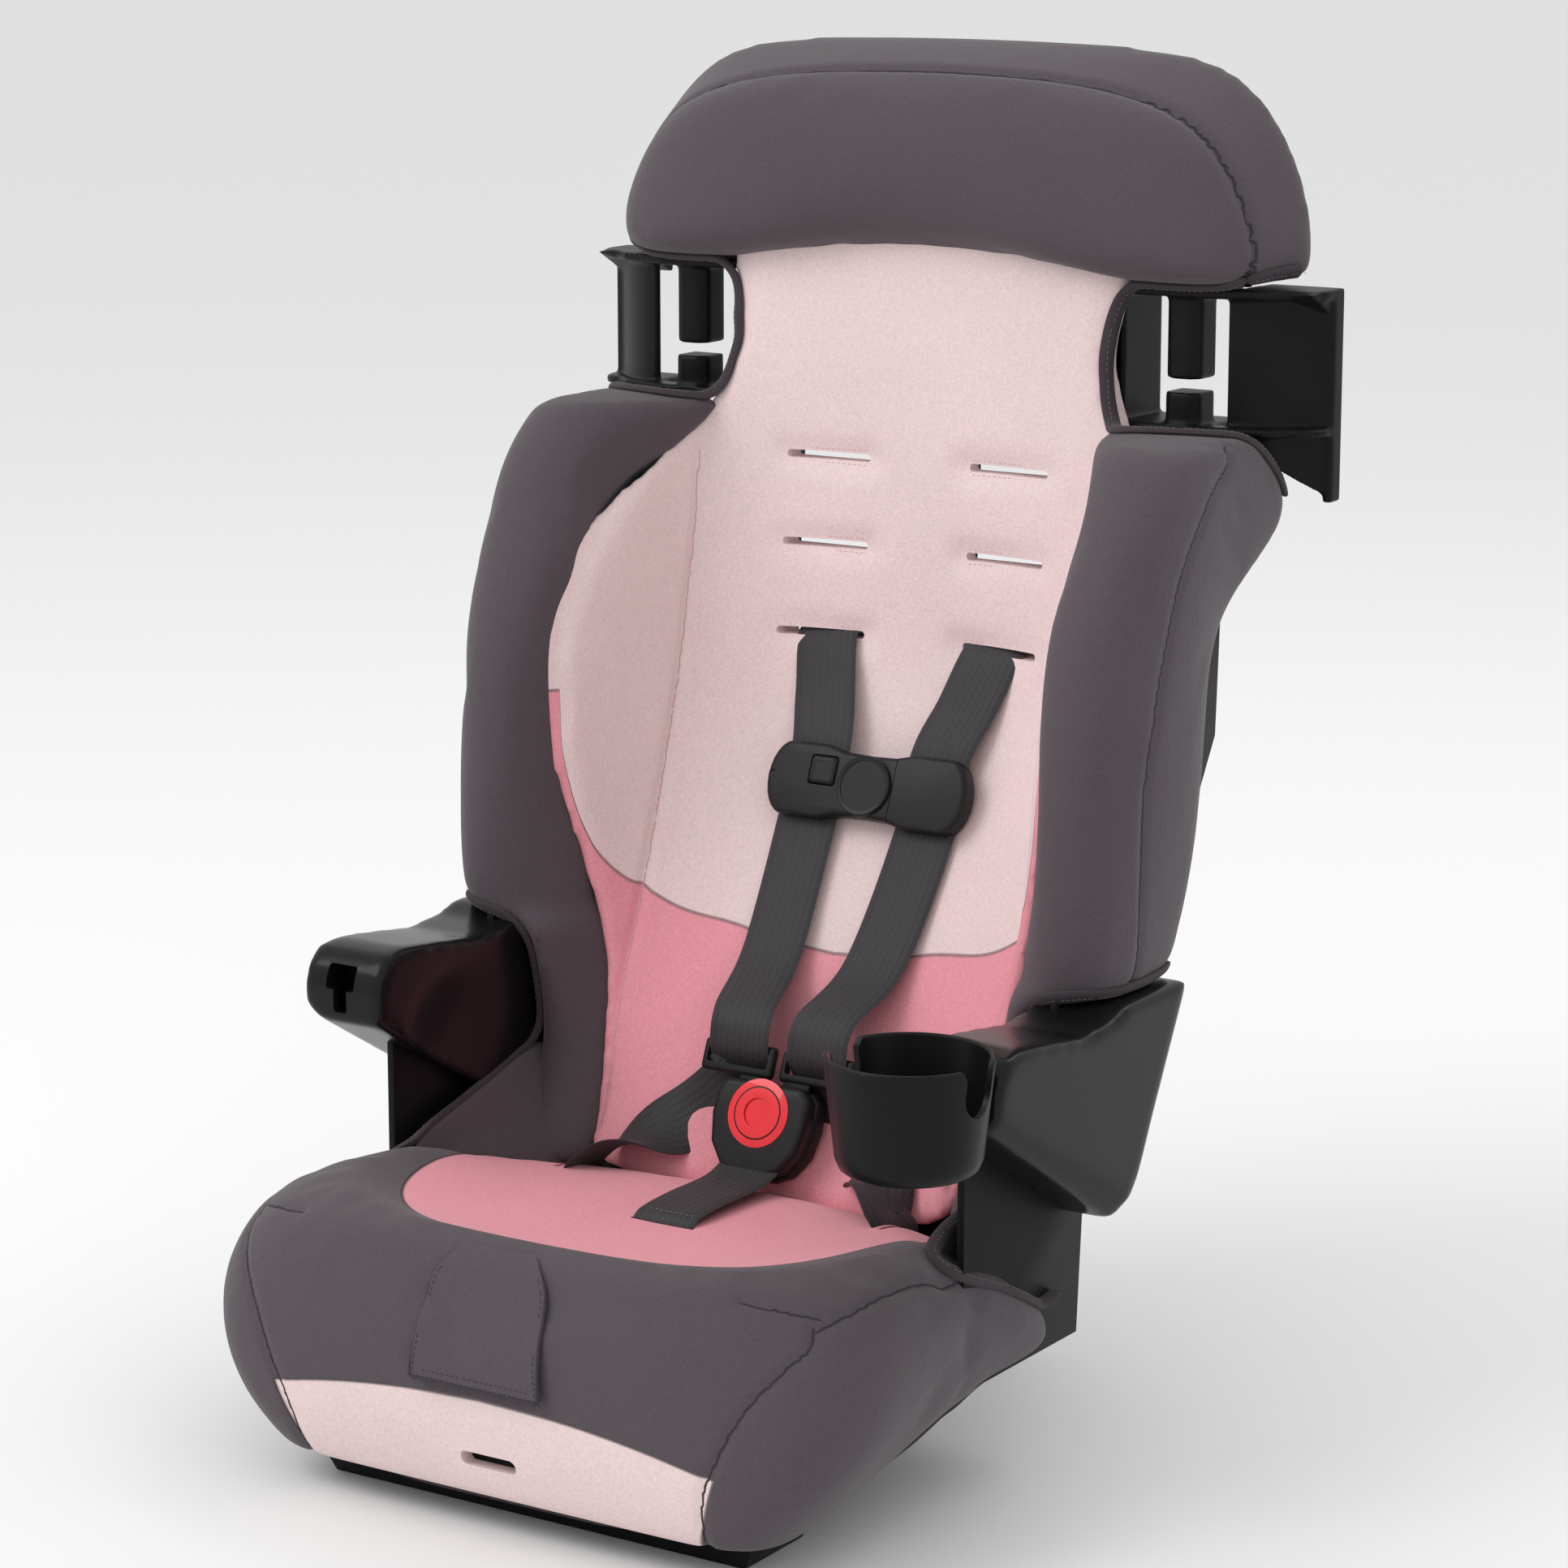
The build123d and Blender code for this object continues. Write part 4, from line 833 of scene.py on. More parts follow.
def puff(piece: bpy.types.Object, voxel: float, cap: float, pressure: float = 4.0,
         held: Callable[[Vector], float] | None = None) -> None:
    """Fills a closed cover with foam: cloth under pressure, with its movement capped.

    Args:
        piece: the closed skin, which is changed in place.
        voxel: the remesh size in millimetres.
        cap: the most that a point may move, in millimetres.
        pressure: the cloth's inner pressure.
        held: how firmly a place is pinned, from 0 to 1.
    """
    apply_modifier(piece, "REMESH", mode="VOXEL", voxel_size=voxel * MM)
    rest = np.array([vertex.co for vertex in piece.data.vertices])
    pins = piece.vertex_groups.new(name="pins")
    for vertex in piece.data.vertices:
        weight = held(vertex.co / MM) if held else 0.0
        if weight > 0:
            pins.add([vertex.index], weight, "REPLACE")
    cloth = piece.modifiers.new("Cloth", "CLOTH")
    settings = cloth.settings
    settings.quality = 4
    settings.mass = 0.25
    settings.tension_stiffness = settings.compression_stiffness = 12
    settings.bending_stiffness = 2.0
    settings.use_pressure = True
    settings.uniform_pressure_force = pressure
    settings.vertex_group_mass = "pins"
    settings.effector_weights.gravity = 0
    cloth.collision_settings.use_collision = False
    scene = bpy.context.scene
    for number in range(1, 21):
        scene.frame_set(number)
    ready = piece.evaluated_get(bpy.context.evaluated_depsgraph_get())
    moved = np.array([vertex.co for vertex in ready.data.vertices])
    piece.modifiers.remove(cloth)
    piece.vertex_groups.clear()
    scene.frame_set(1)
    way = moved - rest
    length = np.linalg.norm(way, axis=1, keepdims=True)
    way *= np.minimum(1.0, cap * MM / np.maximum(length, 1e-9))
    piece.data.vertices.foreach_set("co", (rest + way).ravel())
    piece.data.update()
    apply_modifier(piece, "SMOOTH", factor=0.5, iterations=6)
    apply_modifier(piece, "SUBSURF", levels=1, render_levels=1)


def dress(piece: bpy.types.Object, finish: str, body: str = "seat", stands_for: Sequence[str] = (),
          angle: float = 40.0) -> bpy.types.Object:
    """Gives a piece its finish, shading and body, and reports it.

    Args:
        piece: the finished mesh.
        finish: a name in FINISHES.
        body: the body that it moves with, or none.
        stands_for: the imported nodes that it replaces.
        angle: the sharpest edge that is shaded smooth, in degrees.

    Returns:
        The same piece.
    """
    smooth(piece, angle)
    piece.data.materials.clear()
    piece.data.materials.append(finish_of(finish))
    if body:
        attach(piece, body)
    if stands_for:
        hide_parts(*stands_for)
    log.info("%s: %d faces, %s, on %s", piece.name, len(piece.data.polygons), finish, body)
    return piece


# ------------------------------------------------------------------ padded cover
HIP_Y, HIP_Z = -5.0, 136.0  # where the back meets the seat
LOWER, UPPER, BEND_Z = 31.5, 3.0, 362.0  # the back's two slopes in degrees, and the height between them


def back_y(z: float) -> float:
    """Depth of the middle of the back at a height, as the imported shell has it."""
    low = HIP_Y + (min(z, BEND_Z) - HIP_Z) * tan(radians(LOWER))
    return low + max(0.0, z - BEND_Z) * tan(radians(UPPER))


@dataclass
class BackCover:
    """The pink cover of the back, from the seat to the neck, with its stitched harness slots."""

    levels: tuple[tuple[float, ...], ...] = (
        # height, fold x and y, flank edge x and y
        (106, 108, -28, 112, -34), (136, 112, -9, 115, -13), (170, 116, 6, 120, 1),
        (212, 120, 25, 126, 17), (250, 122, 42, 136, 17), (290, 125, 60, 146, 6),
        (332, 128, 77, 152, -4), (374, 131, 93, 155, -9), (410, 134, 104, 155, -5),
        (440, 135, 112, 154, 6), (470, 136, 118, 149, 39), (498, 136, 123, 142, 92),
        (520, 133, 128, 135, 127), (545, 121, 134, 122, 136), (575, 119, 139, 120, 141),
        (600, 126, 144, 128, 146), (640, 130, 147, 132, 149),
    )
    rows: tuple[float, ...] = (398.0, 448.0, 497.0)
    slot_in: float = 32.0
    slot_out: float = 84.0
    slot_half: float = 2.2
    neck: tuple[float, float] = (530.0, 606.0)  # the heights between which the belt openings lie

    def section(self, z: float, fold: tuple[float, float], edge: tuple[float, float]) -> Ring:
        """One level ring of the cover.

        Args:
            z: the ring's height.
            fold: x and y of the fold between back and flank.
            edge: x and y of the flank's edge.

        Returns:
            The ring's points.
        """
        middle, back = back_y(z), back_y(z) + 11.0
        (fold_x, fold_y), (edge_x, edge_y) = fold, edge
        rise = middle - fold_y
        flare = 8.0 if z < self.neck[0] or z > self.neck[1] else -2.0
        half = [(0.0, middle), (fold_x * 0.35, middle - rise * 0.03), (fold_x * 0.66, middle - rise * 0.22),
                (fold_x * 0.88, middle - rise * 0.62), (fold_x, fold_y),
                ((fold_x + edge_x) / 2 + 1.5, (fold_y + edge_y) / 2), (edge_x, edge_y),
                (edge_x + flare, edge_y + 10), (max(edge_x + flare / 2, fold_x), max(back - 2, edge_y + 14)),
                (fold_x * 0.6, back), (0.0, back)]
        return mirrored(half, z)

    def build(self) -> bpy.types.Object:
        """Models the cover, its slots and its seams.

        Returns:
            The cover's mesh.
        """
        rings = [self.section(z, (fx, fy), (ex, ey)) for z, fx, fy, ex, ey in self.levels]
        piece = loft("back_cover", rings)
        apply_modifier(piece, "SUBSURF", levels=2, render_levels=2)
        puff(piece, 4.5, 3.0, held=lambda spot: 1.0 if spot.y > back_y(spot.z) + 4 else 0.0)
        slots = [
            [Vector((side.value * x, back_y(z), z)) for x in np.arange(self.slot_in, self.slot_out + 1, 3.0)]
            for z in self.rows
            for side in Side
        ]
        press(piece, slots, 5.0, 9.0)
        for side in Side:
            fold = spline([(side.value * fx, fy, z) for z, fx, fy, _, _ in self.levels[1:12]])
            press(piece, [laid_on(fold, surface_of(piece), 0.0)[0]], 2.0, 3.2)
            for z in self.rows:
                low_x, high_x = sorted((side.value * self.slot_in, side.value * self.slot_out))
                cutter = box("cutter", (low_x, -40, z - self.slot_half), (high_x, 230, z + self.slot_half))
                round_edges(cutter, 2.0, 3)
                carve(piece, cutter)
        return dress(piece, "back", stands_for=["back_pad"])

    def sew(self, cover: bpy.types.Object) -> None:
        """Adds the fold seams and the stitching of the slots.

        Args:
            cover: the finished cover, which they are laid on.
        """
        ground = surface_of(cover)
        for side in Side:
            fold = spline([(side.value * fx, fy, z) for z, fx, fy, _, _ in self.levels[1:12]])
            line, normals = laid_on(fold, ground, -0.2)
            dress(tube(f"{side.word}_fold_seam", line, normals, 0.6, 0.4, 6), "back_thread")
            for number, z in enumerate(self.rows):
                for word, shift in (("upper", 4.2), ("lower", -4.2)):
                    row = [Vector((side.value * x, back_y(z), z + shift))
                           for x in np.arange(self.slot_in - 2, self.slot_out + 3, 1.7)]
                    line, normals = laid_on(row, ground, 0.1)
                    name = f"{side.word}_slot_{number}_{word}_stitches"
                    dress(stitches(name, line, normals, 3.4, 2.4, 0.25), "back_thread")


@dataclass
class Bolster:
    """One side bolster of the cover: a foam roll round the shell's wing, hemmed over the arm."""

    side: Side
    # height, inner edge x and y, front, rear, outside
    levels: tuple[tuple[float, ...], ...] = (
        (112, 112, -22, -46, 20, 158), (130, 113, -14, -34, 24, 164), (152, 117, -2, -18, 36, 167),
        (176, 119, 10, -8, 46, 168), (205, 123, 20, -10, 52, 168), (234, 131, 22, -17, 56, 168),
        (247, 135, 20, -21, 62, 169), (251, 136, 19, -24, 66, 208), (262, 139, 16, -27, 72, 212),
        (300, 147, 6, -28, 84, 213), (350, 152, -4, -27, 100, 213), (400, 154, -6, -22, 100, 213),
        (435, 153, 5, -12, 112, 213), (456, 151, 22, -2, 146, 214), (478, 149, 48, 9, 190, 215),
        (500, 135, 94, 22, 180, 215), (514, 125, 116, 35, 164, 213), (524, 121, 124, 45, 150, 211),
        (528, 125, 126, 56, 142, 206),
    )

    def section(self, z: float, in_x: float, in_y: float, front: float, rear: float, out: float) -> Ring:
        """One level ring of the bolster.

        Args:
            z: the ring's height.
            in_x: x of the inner edge.
            in_y: y of the inner edge.
            front: y of the crest.
            rear: y of the rear face.
            out: x of the outside.

        Returns:
            The ring's points.
        """
        crest = in_x + (out - in_x) * 0.58
        half = [(in_x + 1, in_y + 15), (in_x + 1, in_y),
                (in_x + (crest - in_x) * 0.42, in_y * 0.4 + front * 0.6), (crest, front),
                (out - 7, front + 9), (out, front + 30), (out, (front + rear) / 2 + 12),
                (out - 2, rear - 6), (out - 18, rear), (max(in_x + 14, out - 34), (in_y + rear) / 2 + 6)]
        return [(self.side.value * x, y, z) for x, y in half]

    def build(self) -> bpy.types.Object:
        """Models the bolster.

        Returns:
            The bolster's mesh.
        """
        piece = loft(f"{self.side.word}_bolster_cover", [self.section(*row) for row in self.levels])
        apply_modifier(piece, "SUBSURF", levels=2, render_levels=2)
        puff(piece, 4.5, 4.0, held=lambda spot: 1.0 if spot.z < 246 or spot.y > 120 else 0.0)
        outer = spline([(self.side.value * 202, y, z) for y, z in
                        ((14, 252), (14, 347), (22, 390), (30, 420), (48, 465), (78, 500), (112, 520))])
        press(piece, [laid_on(outer, surface_of(piece), 0.0)[0]], 1.6, 3.0)
        ground = surface_of(piece)
        line, normals = laid_on(outer, ground, -0.1)
        dress(tube(f"{self.side.word}_bolster_seam", line, normals, 0.7, 0.5, 6), "thread")
        return dress(piece, "charcoal", stands_for=[f"{self.side.word}_bolster"])

    def flank(self) -> bpy.types.Object:
        """Models the quilted flank inside the arm, from the seat up to the hem.

        Returns:
            The flank's mesh.
        """
        rows = ((14, 112, 176), (-4, 116, 176), (-30, 126, 167), (-60, 137, 159), (-90, 145, 152),
                (-120, 151, 144))
        rings = []
        for y, low_x, top in rows:
            ring = [(low_x, 106), (low_x + 4, 124), ((low_x + 166) / 2 + 4, (124 + top) / 2 - 3),
                    (161, top - 3), (165.5, top), (166, top - 14), (166, 106)]
            rings.append([(self.side.value * x, y, z) for x, z in ring])
        piece = loft(f"{self.side.word}_flank_cover", rings)
        apply_modifier(piece, "SUBSURF", levels=3, render_levels=3)
        return dress(piece, "charcoal")


@dataclass
class HeadHood:
    """The charcoal head pad, slipped down over the shell's head panel."""

    # height, half width of the front seam, half width of the rear edge
    arch: tuple[tuple[float, float, float], ...] = (
        (604, 196, 214), (612, 202, 216), (630, 202, 216), (652, 193, 211), (672, 181, 201), (689, 163, 186),
        (701, 136, 168), (707, 102, 142), (710, 56, 96), (711.5, 0, 0),
    )
    rise: float = 19.0  # how far the rear edge stands above the front seam at the middle
    hem: float = 603.0
    hem_rise: float = 17.0  # the front hem's arch over the neck
    hem_half: float = 124.0  # half the width of that arch

    def outline(self, share: float, y: float) -> Ring:
        """The hood's outline between its front seam, share 0, and its rear edge, share 1.

        Args:
            share: where the ring lies between seam and edge.
            y: its depth.

        Returns:
            The ring's points.
        """
        right = []
        for z, front, rear in self.arch:
            up = (z - self.arch[0][0]) / (self.arch[-1][0] - self.arch[0][0])
            right.append((front + (rear - front) * share, y, z + self.rise * share * up**2))
        hem = []
        for x in (0, 45, 88, 124, 160):
            lift = self.hem_rise * max(0.0, 1 - (x / self.hem_half) ** 2) * (1 - share)
            hem.append((float(x), y, self.hem + lift))
        ring = hem + right
        left = [(-x, yy, z) for x, yy, z in reversed(ring[1:-1])]
        return ring + left

    def build(self) -> bpy.types.Object:
        """Models the hood.

        Returns:
            The hood's mesh.
        """
        centre = Vector((0, 0, 655))
        rings: list[Ring] = []
        for scale, y in ((0.30, 119), (0.60, 121), (0.82, 126), (0.95, 136)):
            edge = self.outline(0.0, y)
            rings.append([(x * scale, y + (abs(x) / 200) ** 2 * -5, centre.z + (z - centre.z) * scale)
                          for x, y, z in edge])
        rings.append(self.outline(0.0, 147))
        rings.append(self.outline(0.3, 160))
        rings.append(self.outline(0.7, 180))
        rings.append(self.outline(1.0, 195))
        for scale, y in ((0.92, 201), (0.55, 203)):
            edge = self.outline(1.0, y)
            rings.append([(x * scale, y, centre.z + (z - centre.z) * scale) for x, y, z in edge])
        piece = loft("head_hood", rings)
        apply_modifier(piece, "SUBSURF", levels=2, render_levels=2)
        puff(piece, 5.0, 7.0, held=lambda spot: 0.9 if spot.y > 190 or spot.z < 609 else 0.0)
        seam = spline([(sign * x, 147, z) for sign, x, z in self.seam_points()])
        press(piece, [laid_on(seam, surface_of(piece), 0.0)[0]], 2.6, 3.4)
        line, normals = laid_on(seam, surface_of(piece), -0.1)
        dress(tube("hood_seam", line, normals, 0.8, 0.55, 6), "thread")
        return dress(piece, "charcoal", stands_for=["head_pad"])

    def seam_points(self) -> list[tuple[int, float, float]]:
        """The front seam from one bottom corner over the top to the other.

        Returns:
            The side's sign, half width and height of each point.
        """
        rows = [(x, z) for z, x, _ in self.arch]
        return [(1, x, z) for x, z in rows] + [(-1, x, z) for x, z in reversed(rows[:-1])]


@dataclass
class SeatCover:
    """The seat's cover: dished top, rolled front with its pale band, and sides down to the hem."""

    top_seam: tuple[tuple[float, float], ...] = ((-275, 148), (-247, 148), (-159, 141), (-91, 121), (-3, 90),
                                                 (30, 80))
    hem: tuple[tuple[float, float], ...] = ((-275, 15), (-222, 14), (-200, 18), (-178, 36), (-160, 54),
                                            (-130, 61), (30, 66))
    columns: int = 48
    middle: float = -118.0
    foot: float = -215.0  # where the cover's width starts to change behind the nose
    foot_long: float = 80.0

    def ring(self, half: float, front: float, rear: float, height: Callable[[float, float], float],
             square: float = 3.2, tuck: Callable[[float], float] | None = None) -> Ring:
        """A closed ring of the cover.

        Args:
            half: its half width.
            front: its foremost y.
            rear: its rearmost y.
            height: z at an x and y.
            square: how square its corners are.
            tuck: a factor on its half width by y.

        Returns:
            The ring's points.
        """
        made = []
        for i in range(self.columns):
            turn = 2 * pi * i / self.columns - pi / 2
            across, along = cos(turn), sin(turn)
            x = half * (abs(across) ** (2 / square)) * (1 if across >= 0 else -1)
            reach = (self.middle - front) if along < 0 else (rear - self.middle)
            y = self.middle + reach * (abs(along) ** (2 / square)) * (1 if along >= 0 else -1)
            x *= tuck(y) if tuck else 1.0
            made.append((x, y, height(x, y)))
        return made

    def side_height(self, share: float) -> Callable[[float, float], float]:
        """Height on the side between the top seam, share 0, and the hem, share 1.

        Args:
            share: how far down the side.

        Returns:
            A function of x and y that gives z.
        """
        def height(_: float, y: float) -> float:
            top, low = between(y, self.top_seam)[0], between(y, self.hem)[0]
            return top + (low - top) * share
        return height

    @staticmethod
    def waist(front: float, rear: float) -> Callable[[float], float]:
        """A width factor that is front at the nose and changes to rear behind the foot.

        Args:
            front: the factor at the nose.
            rear: the factor behind.

        Returns:
            A function of y.
        """
        def factor(y: float) -> float:
            share = min(1.0, max(0.0, (y - SeatCover.foot) / SeatCover.foot_long))
            share = share * share * (3 - 2 * share)
            return front + (rear - front) * share
        return factor

    def build(self) -> bpy.types.Object:
        """Models the cover.

        Returns:
            The cover's mesh.
        """
        def dished(front: float, side: float, rear: float) -> Callable[[float, float], float]:
            def height(_: float, y: float) -> float:
                ahead = max(0.0, (self.middle - y) / 150)
                behind = max(0.0, (y - self.middle) / 110)
                return side + (front - side) * min(1.0, ahead) + (rear - side) * min(1.0, behind)
            return height

        def crown(x: float, y: float) -> float:
            return self.side_height(0.0)(x, y) + 3

        rings = [
            self.ring(30, -150, -90, dished(122, 122, 120), 2.2),
            self.ring(70, -190, -55, dished(128, 124, 119), 2.3),
            self.ring(112, -222, -25, dished(139, 129, 117), 2.5),
            self.ring(142, -241, -10, dished(149, 137, 116), 2.8),
            self.ring(166, -253, -6, dished(154, 146, 104), 3.2),
            self.ring(182, -261, -6, crown, 3.8, self.waist(1.0, 0.985)),
            self.ring(195, -268, -6, self.side_height(0.09), 4.4, self.waist(1.0, 0.965)),
            self.ring(206, -272, -6, self.side_height(0.30), 5.5, self.waist(1.0, 0.935)),
            self.ring(200, -274, -6, self.side_height(0.55), 7.0, self.waist(1.0, 0.95)),
            self.ring(182, -271, -6, self.side_height(0.78), 9.0, self.waist(0.99, 1.03)),
            self.ring(160, -262, -6, self.side_height(0.95), 10.0, self.waist(0.98, 1.14)),
            self.ring(154, -257, -6, self.side_height(1.0), 10.0, self.waist(0.98, 1.16)),
            self.ring(142, -243, -6, self.side_height(0.99), 10.0, self.waist(0.98, 1.18)),
            self.ring(160, -249, -8, self.side_height(0.60), 4.0, self.waist(0.99, 1.08)),
            self.ring(176, -249, -10, lambda x, y: 101.0, 4.0),
            self.ring(60, -170, -60, lambda x, y: 102.0, 3.0),
        ]
        piece = loft("seat_cover", rings)
        apply_modifier(piece, "SUBSURF", levels=1, render_levels=1)
        puff(piece, 5.0, 4.0, 3.0, held=lambda spot: 1.0 if spot.z < 24 or spot.y > -14 else 0.0)
        self.slit(piece)
        self.seams(piece)
        return dress(piece, "seat", stands_for=["seat_cushion", "front_cover"])

    def slit(self, piece: bpy.types.Object) -> None:
        """Cuts the slit in the front band, and the slots for the lap and crotch straps.

        Args:
            piece: the cover.
        """
        cutter = box("cutter", (-17, -300, 38), (17, -240, 46))
        round_edges(cutter, 3.5, 4)
        carve(piece, cutter)
        carve(piece, box("cutter", (-19.8, -115.8, 90), (19.8, -112.2, 150)))
        for side in Side:
            low_x, high_x = sorted((side.value * 102.4, side.value * 105.6))
            carve(piece, box("cutter", (low_x, -66, 90), (high_x, -26, 150)))

    def seam_lines(self) -> dict[str, list[Point]]:
        """The sewn seams between the cover's panels."""
        top = [(186.0, y, z) for y, z in self.top_seam[1:5]]
        corner = [(183.0, -244.0, 150.0), (187, -256, 140), (172, -268, 122), (151, -270, 96),
                  (137, -268, 70), (128, -264, 50), (122, -252, 20)]
        across = [(183.0, -236.0, 152.0), (160, -246, 154), (138, -250, 154)]
        return {"side_top": top, "corner": corner, "shoulder": across}

    def seams(self, piece: bpy.types.Object) -> None:
        """Presses the seams in and lays their thread.

        Args:
            piece: the cover.
        """
        ground = surface_of(piece)
        lines = {}
        for word, points in self.seam_lines().items():
            for side in Side:
                path = spline([(side.value * x, y, z) for x, y, z in points])
                lines[f"{side.word}_{word}_seam"] = laid_on(path, ground, 0.0)[0]
        press(piece, list(lines.values()), 1.8, 3.0)
        ground = surface_of(piece)
        for name, path in lines.items():
            line, normals = laid_on(path, ground, -0.15)
            dress(tube(name, line, normals, 0.7, 0.5, 6), "thread")


# ------------------------------------------------------------------ small fabric parts
FRONT, AHEAD = -262.0, -330.0  # the seat's front, and a place well ahead of it


@dataclass
class Bindings:
    """Bound edges of the cover: round the belt openings, over the arms and along the hem."""

    half_wide: float = 4.2
    half_thick: float = 2.3

    def paths(self) -> dict[str, list[Point]]:
        """The right side's edges, each as the points it runs through."""
        return {
            "neck_binding": [(196, 148, 606), (165, 144, 605), (141, 142, 603), (129, 140, 596),
                             (121, 138, 578), (120, 136, 560), (123, 132, 543), (129, 126, 530),
                             (138, 116, 525), (156, 108, 527), (184, 118, 529), (203, 138, 526),
                             (211, 160, 512), (214, 182, 494)],
            "hood_binding": [(196, 148, 606), (207, 160, 608), (214, 182, 610)],
            "arm_binding": [(206, 62, 252), (209, 40, 252), (208, 10, 252), (203, -14, 251), (190, -24, 250),
                            (174, -22, 248), (166, -14, 238), (165, -8, 222), (165.5, -4, 200),
                            (165.5, -2, 182), (165.5, -14, 170), (165.5, -45, 160), (165.5, -80, 152),
                            (166, -108, 146), (171, -122, 142), (180, -118, 134), (184, -96, 123),
                            (186, -60, 110), (186, -20, 96)],
        }

    def build(self, grounds: dict[str, BVHTree]) -> None:
        """Models the edges on each side, laid on the cover where it is near.

        Args:
            grounds: the skins that the edges may lie on.
        """
        for word, points in self.paths().items():
            for side in Side:
                line, normals = self.follow([(side.value * x, y, z) for x, y, z in points], grounds)
                piece = tube(f"{side.word}_{word}", line, normals, self.half_wide, self.half_thick, 10)
                dress(piece, "binding")
                inside = [spot + normal * (self.half_thick - 0.1) for spot, normal in zip(line, normals)]
                dress(stitches(f"{side.word}_{word}_stitches", inside, normals), "binding_thread")

    def follow(self, points: Sequence[Point], grounds: dict[str, BVHTree],
               reach: float = 14.0) -> tuple[list[Vector], list[Vector]]:
        """A smooth edge that lies on the nearest skin within reach.

        Args:
            points: the places that the edge runs through.
            grounds: the skins that it may lie on.
            reach: how far off a skin may be.

        Returns:
            The edge's points, and the direction of its thickness at each.
        """
        line, normals = [], []
        for spot in spline(points, 3.0):
            found = [skin_.find_nearest(spot * MM) for skin_ in grounds.values()]
            place, normal, _, gap = min(found, key=lambda row: row[3])
            if gap / MM < reach:
                line.append(place / MM + normal * 1.4)
                normals.append(normal)
            else:
                line.append(spot)
                normals.append(normals[-1] if normals else normal)
        return self.eased(line), [normal.normalized() for normal in self.eased(normals)]

    @staticmethod
    def eased(row: list[Vector], rounds: int = 6) -> list[Vector]:
        """A row of vectors with its kinks evened out and its ends kept.

        Args:
            row: the vectors.
            rounds: how often they are eased.

        Returns:
            The eased row.
        """
        for _ in range(rounds):
            row = [row[0], *((a + 2 * b + c) / 4 for a, b, c in zip(row, row[1:], row[2:])), row[-1]]
        return row

    def hem(self, cover: SeatCover, ground: BVHTree) -> None:
        """Models the seat's bound bottom hem.

        Args:
            cover: the seat's cover.
            ground: its skin.
        """
        ring = cover.ring(151, -249, -6, cover.side_height(1.0), 4.0, cover.waist(0.97, 1.14))
        path = [Vector(point) for point in ring if point[1] < -14]
        path.sort(key=lambda spot: (spot.x > 0, spot.y if spot.x > 0 else -spot.y))
        line = spline([tuple(spot) for spot in path], 3.0)
        line, normals = laid_on(line, ground, 0.6)
        line, normals = self.eased(line), self.eased(normals)
        dress(tube("seat_hem", line, normals, 4.0, 1.8, 10), "binding")
        inside = [spot + normal * 1.7 for spot, normal in zip(line, normals)]
        dress(stitches("seat_hem_stitches", inside, normals), "binding_thread")


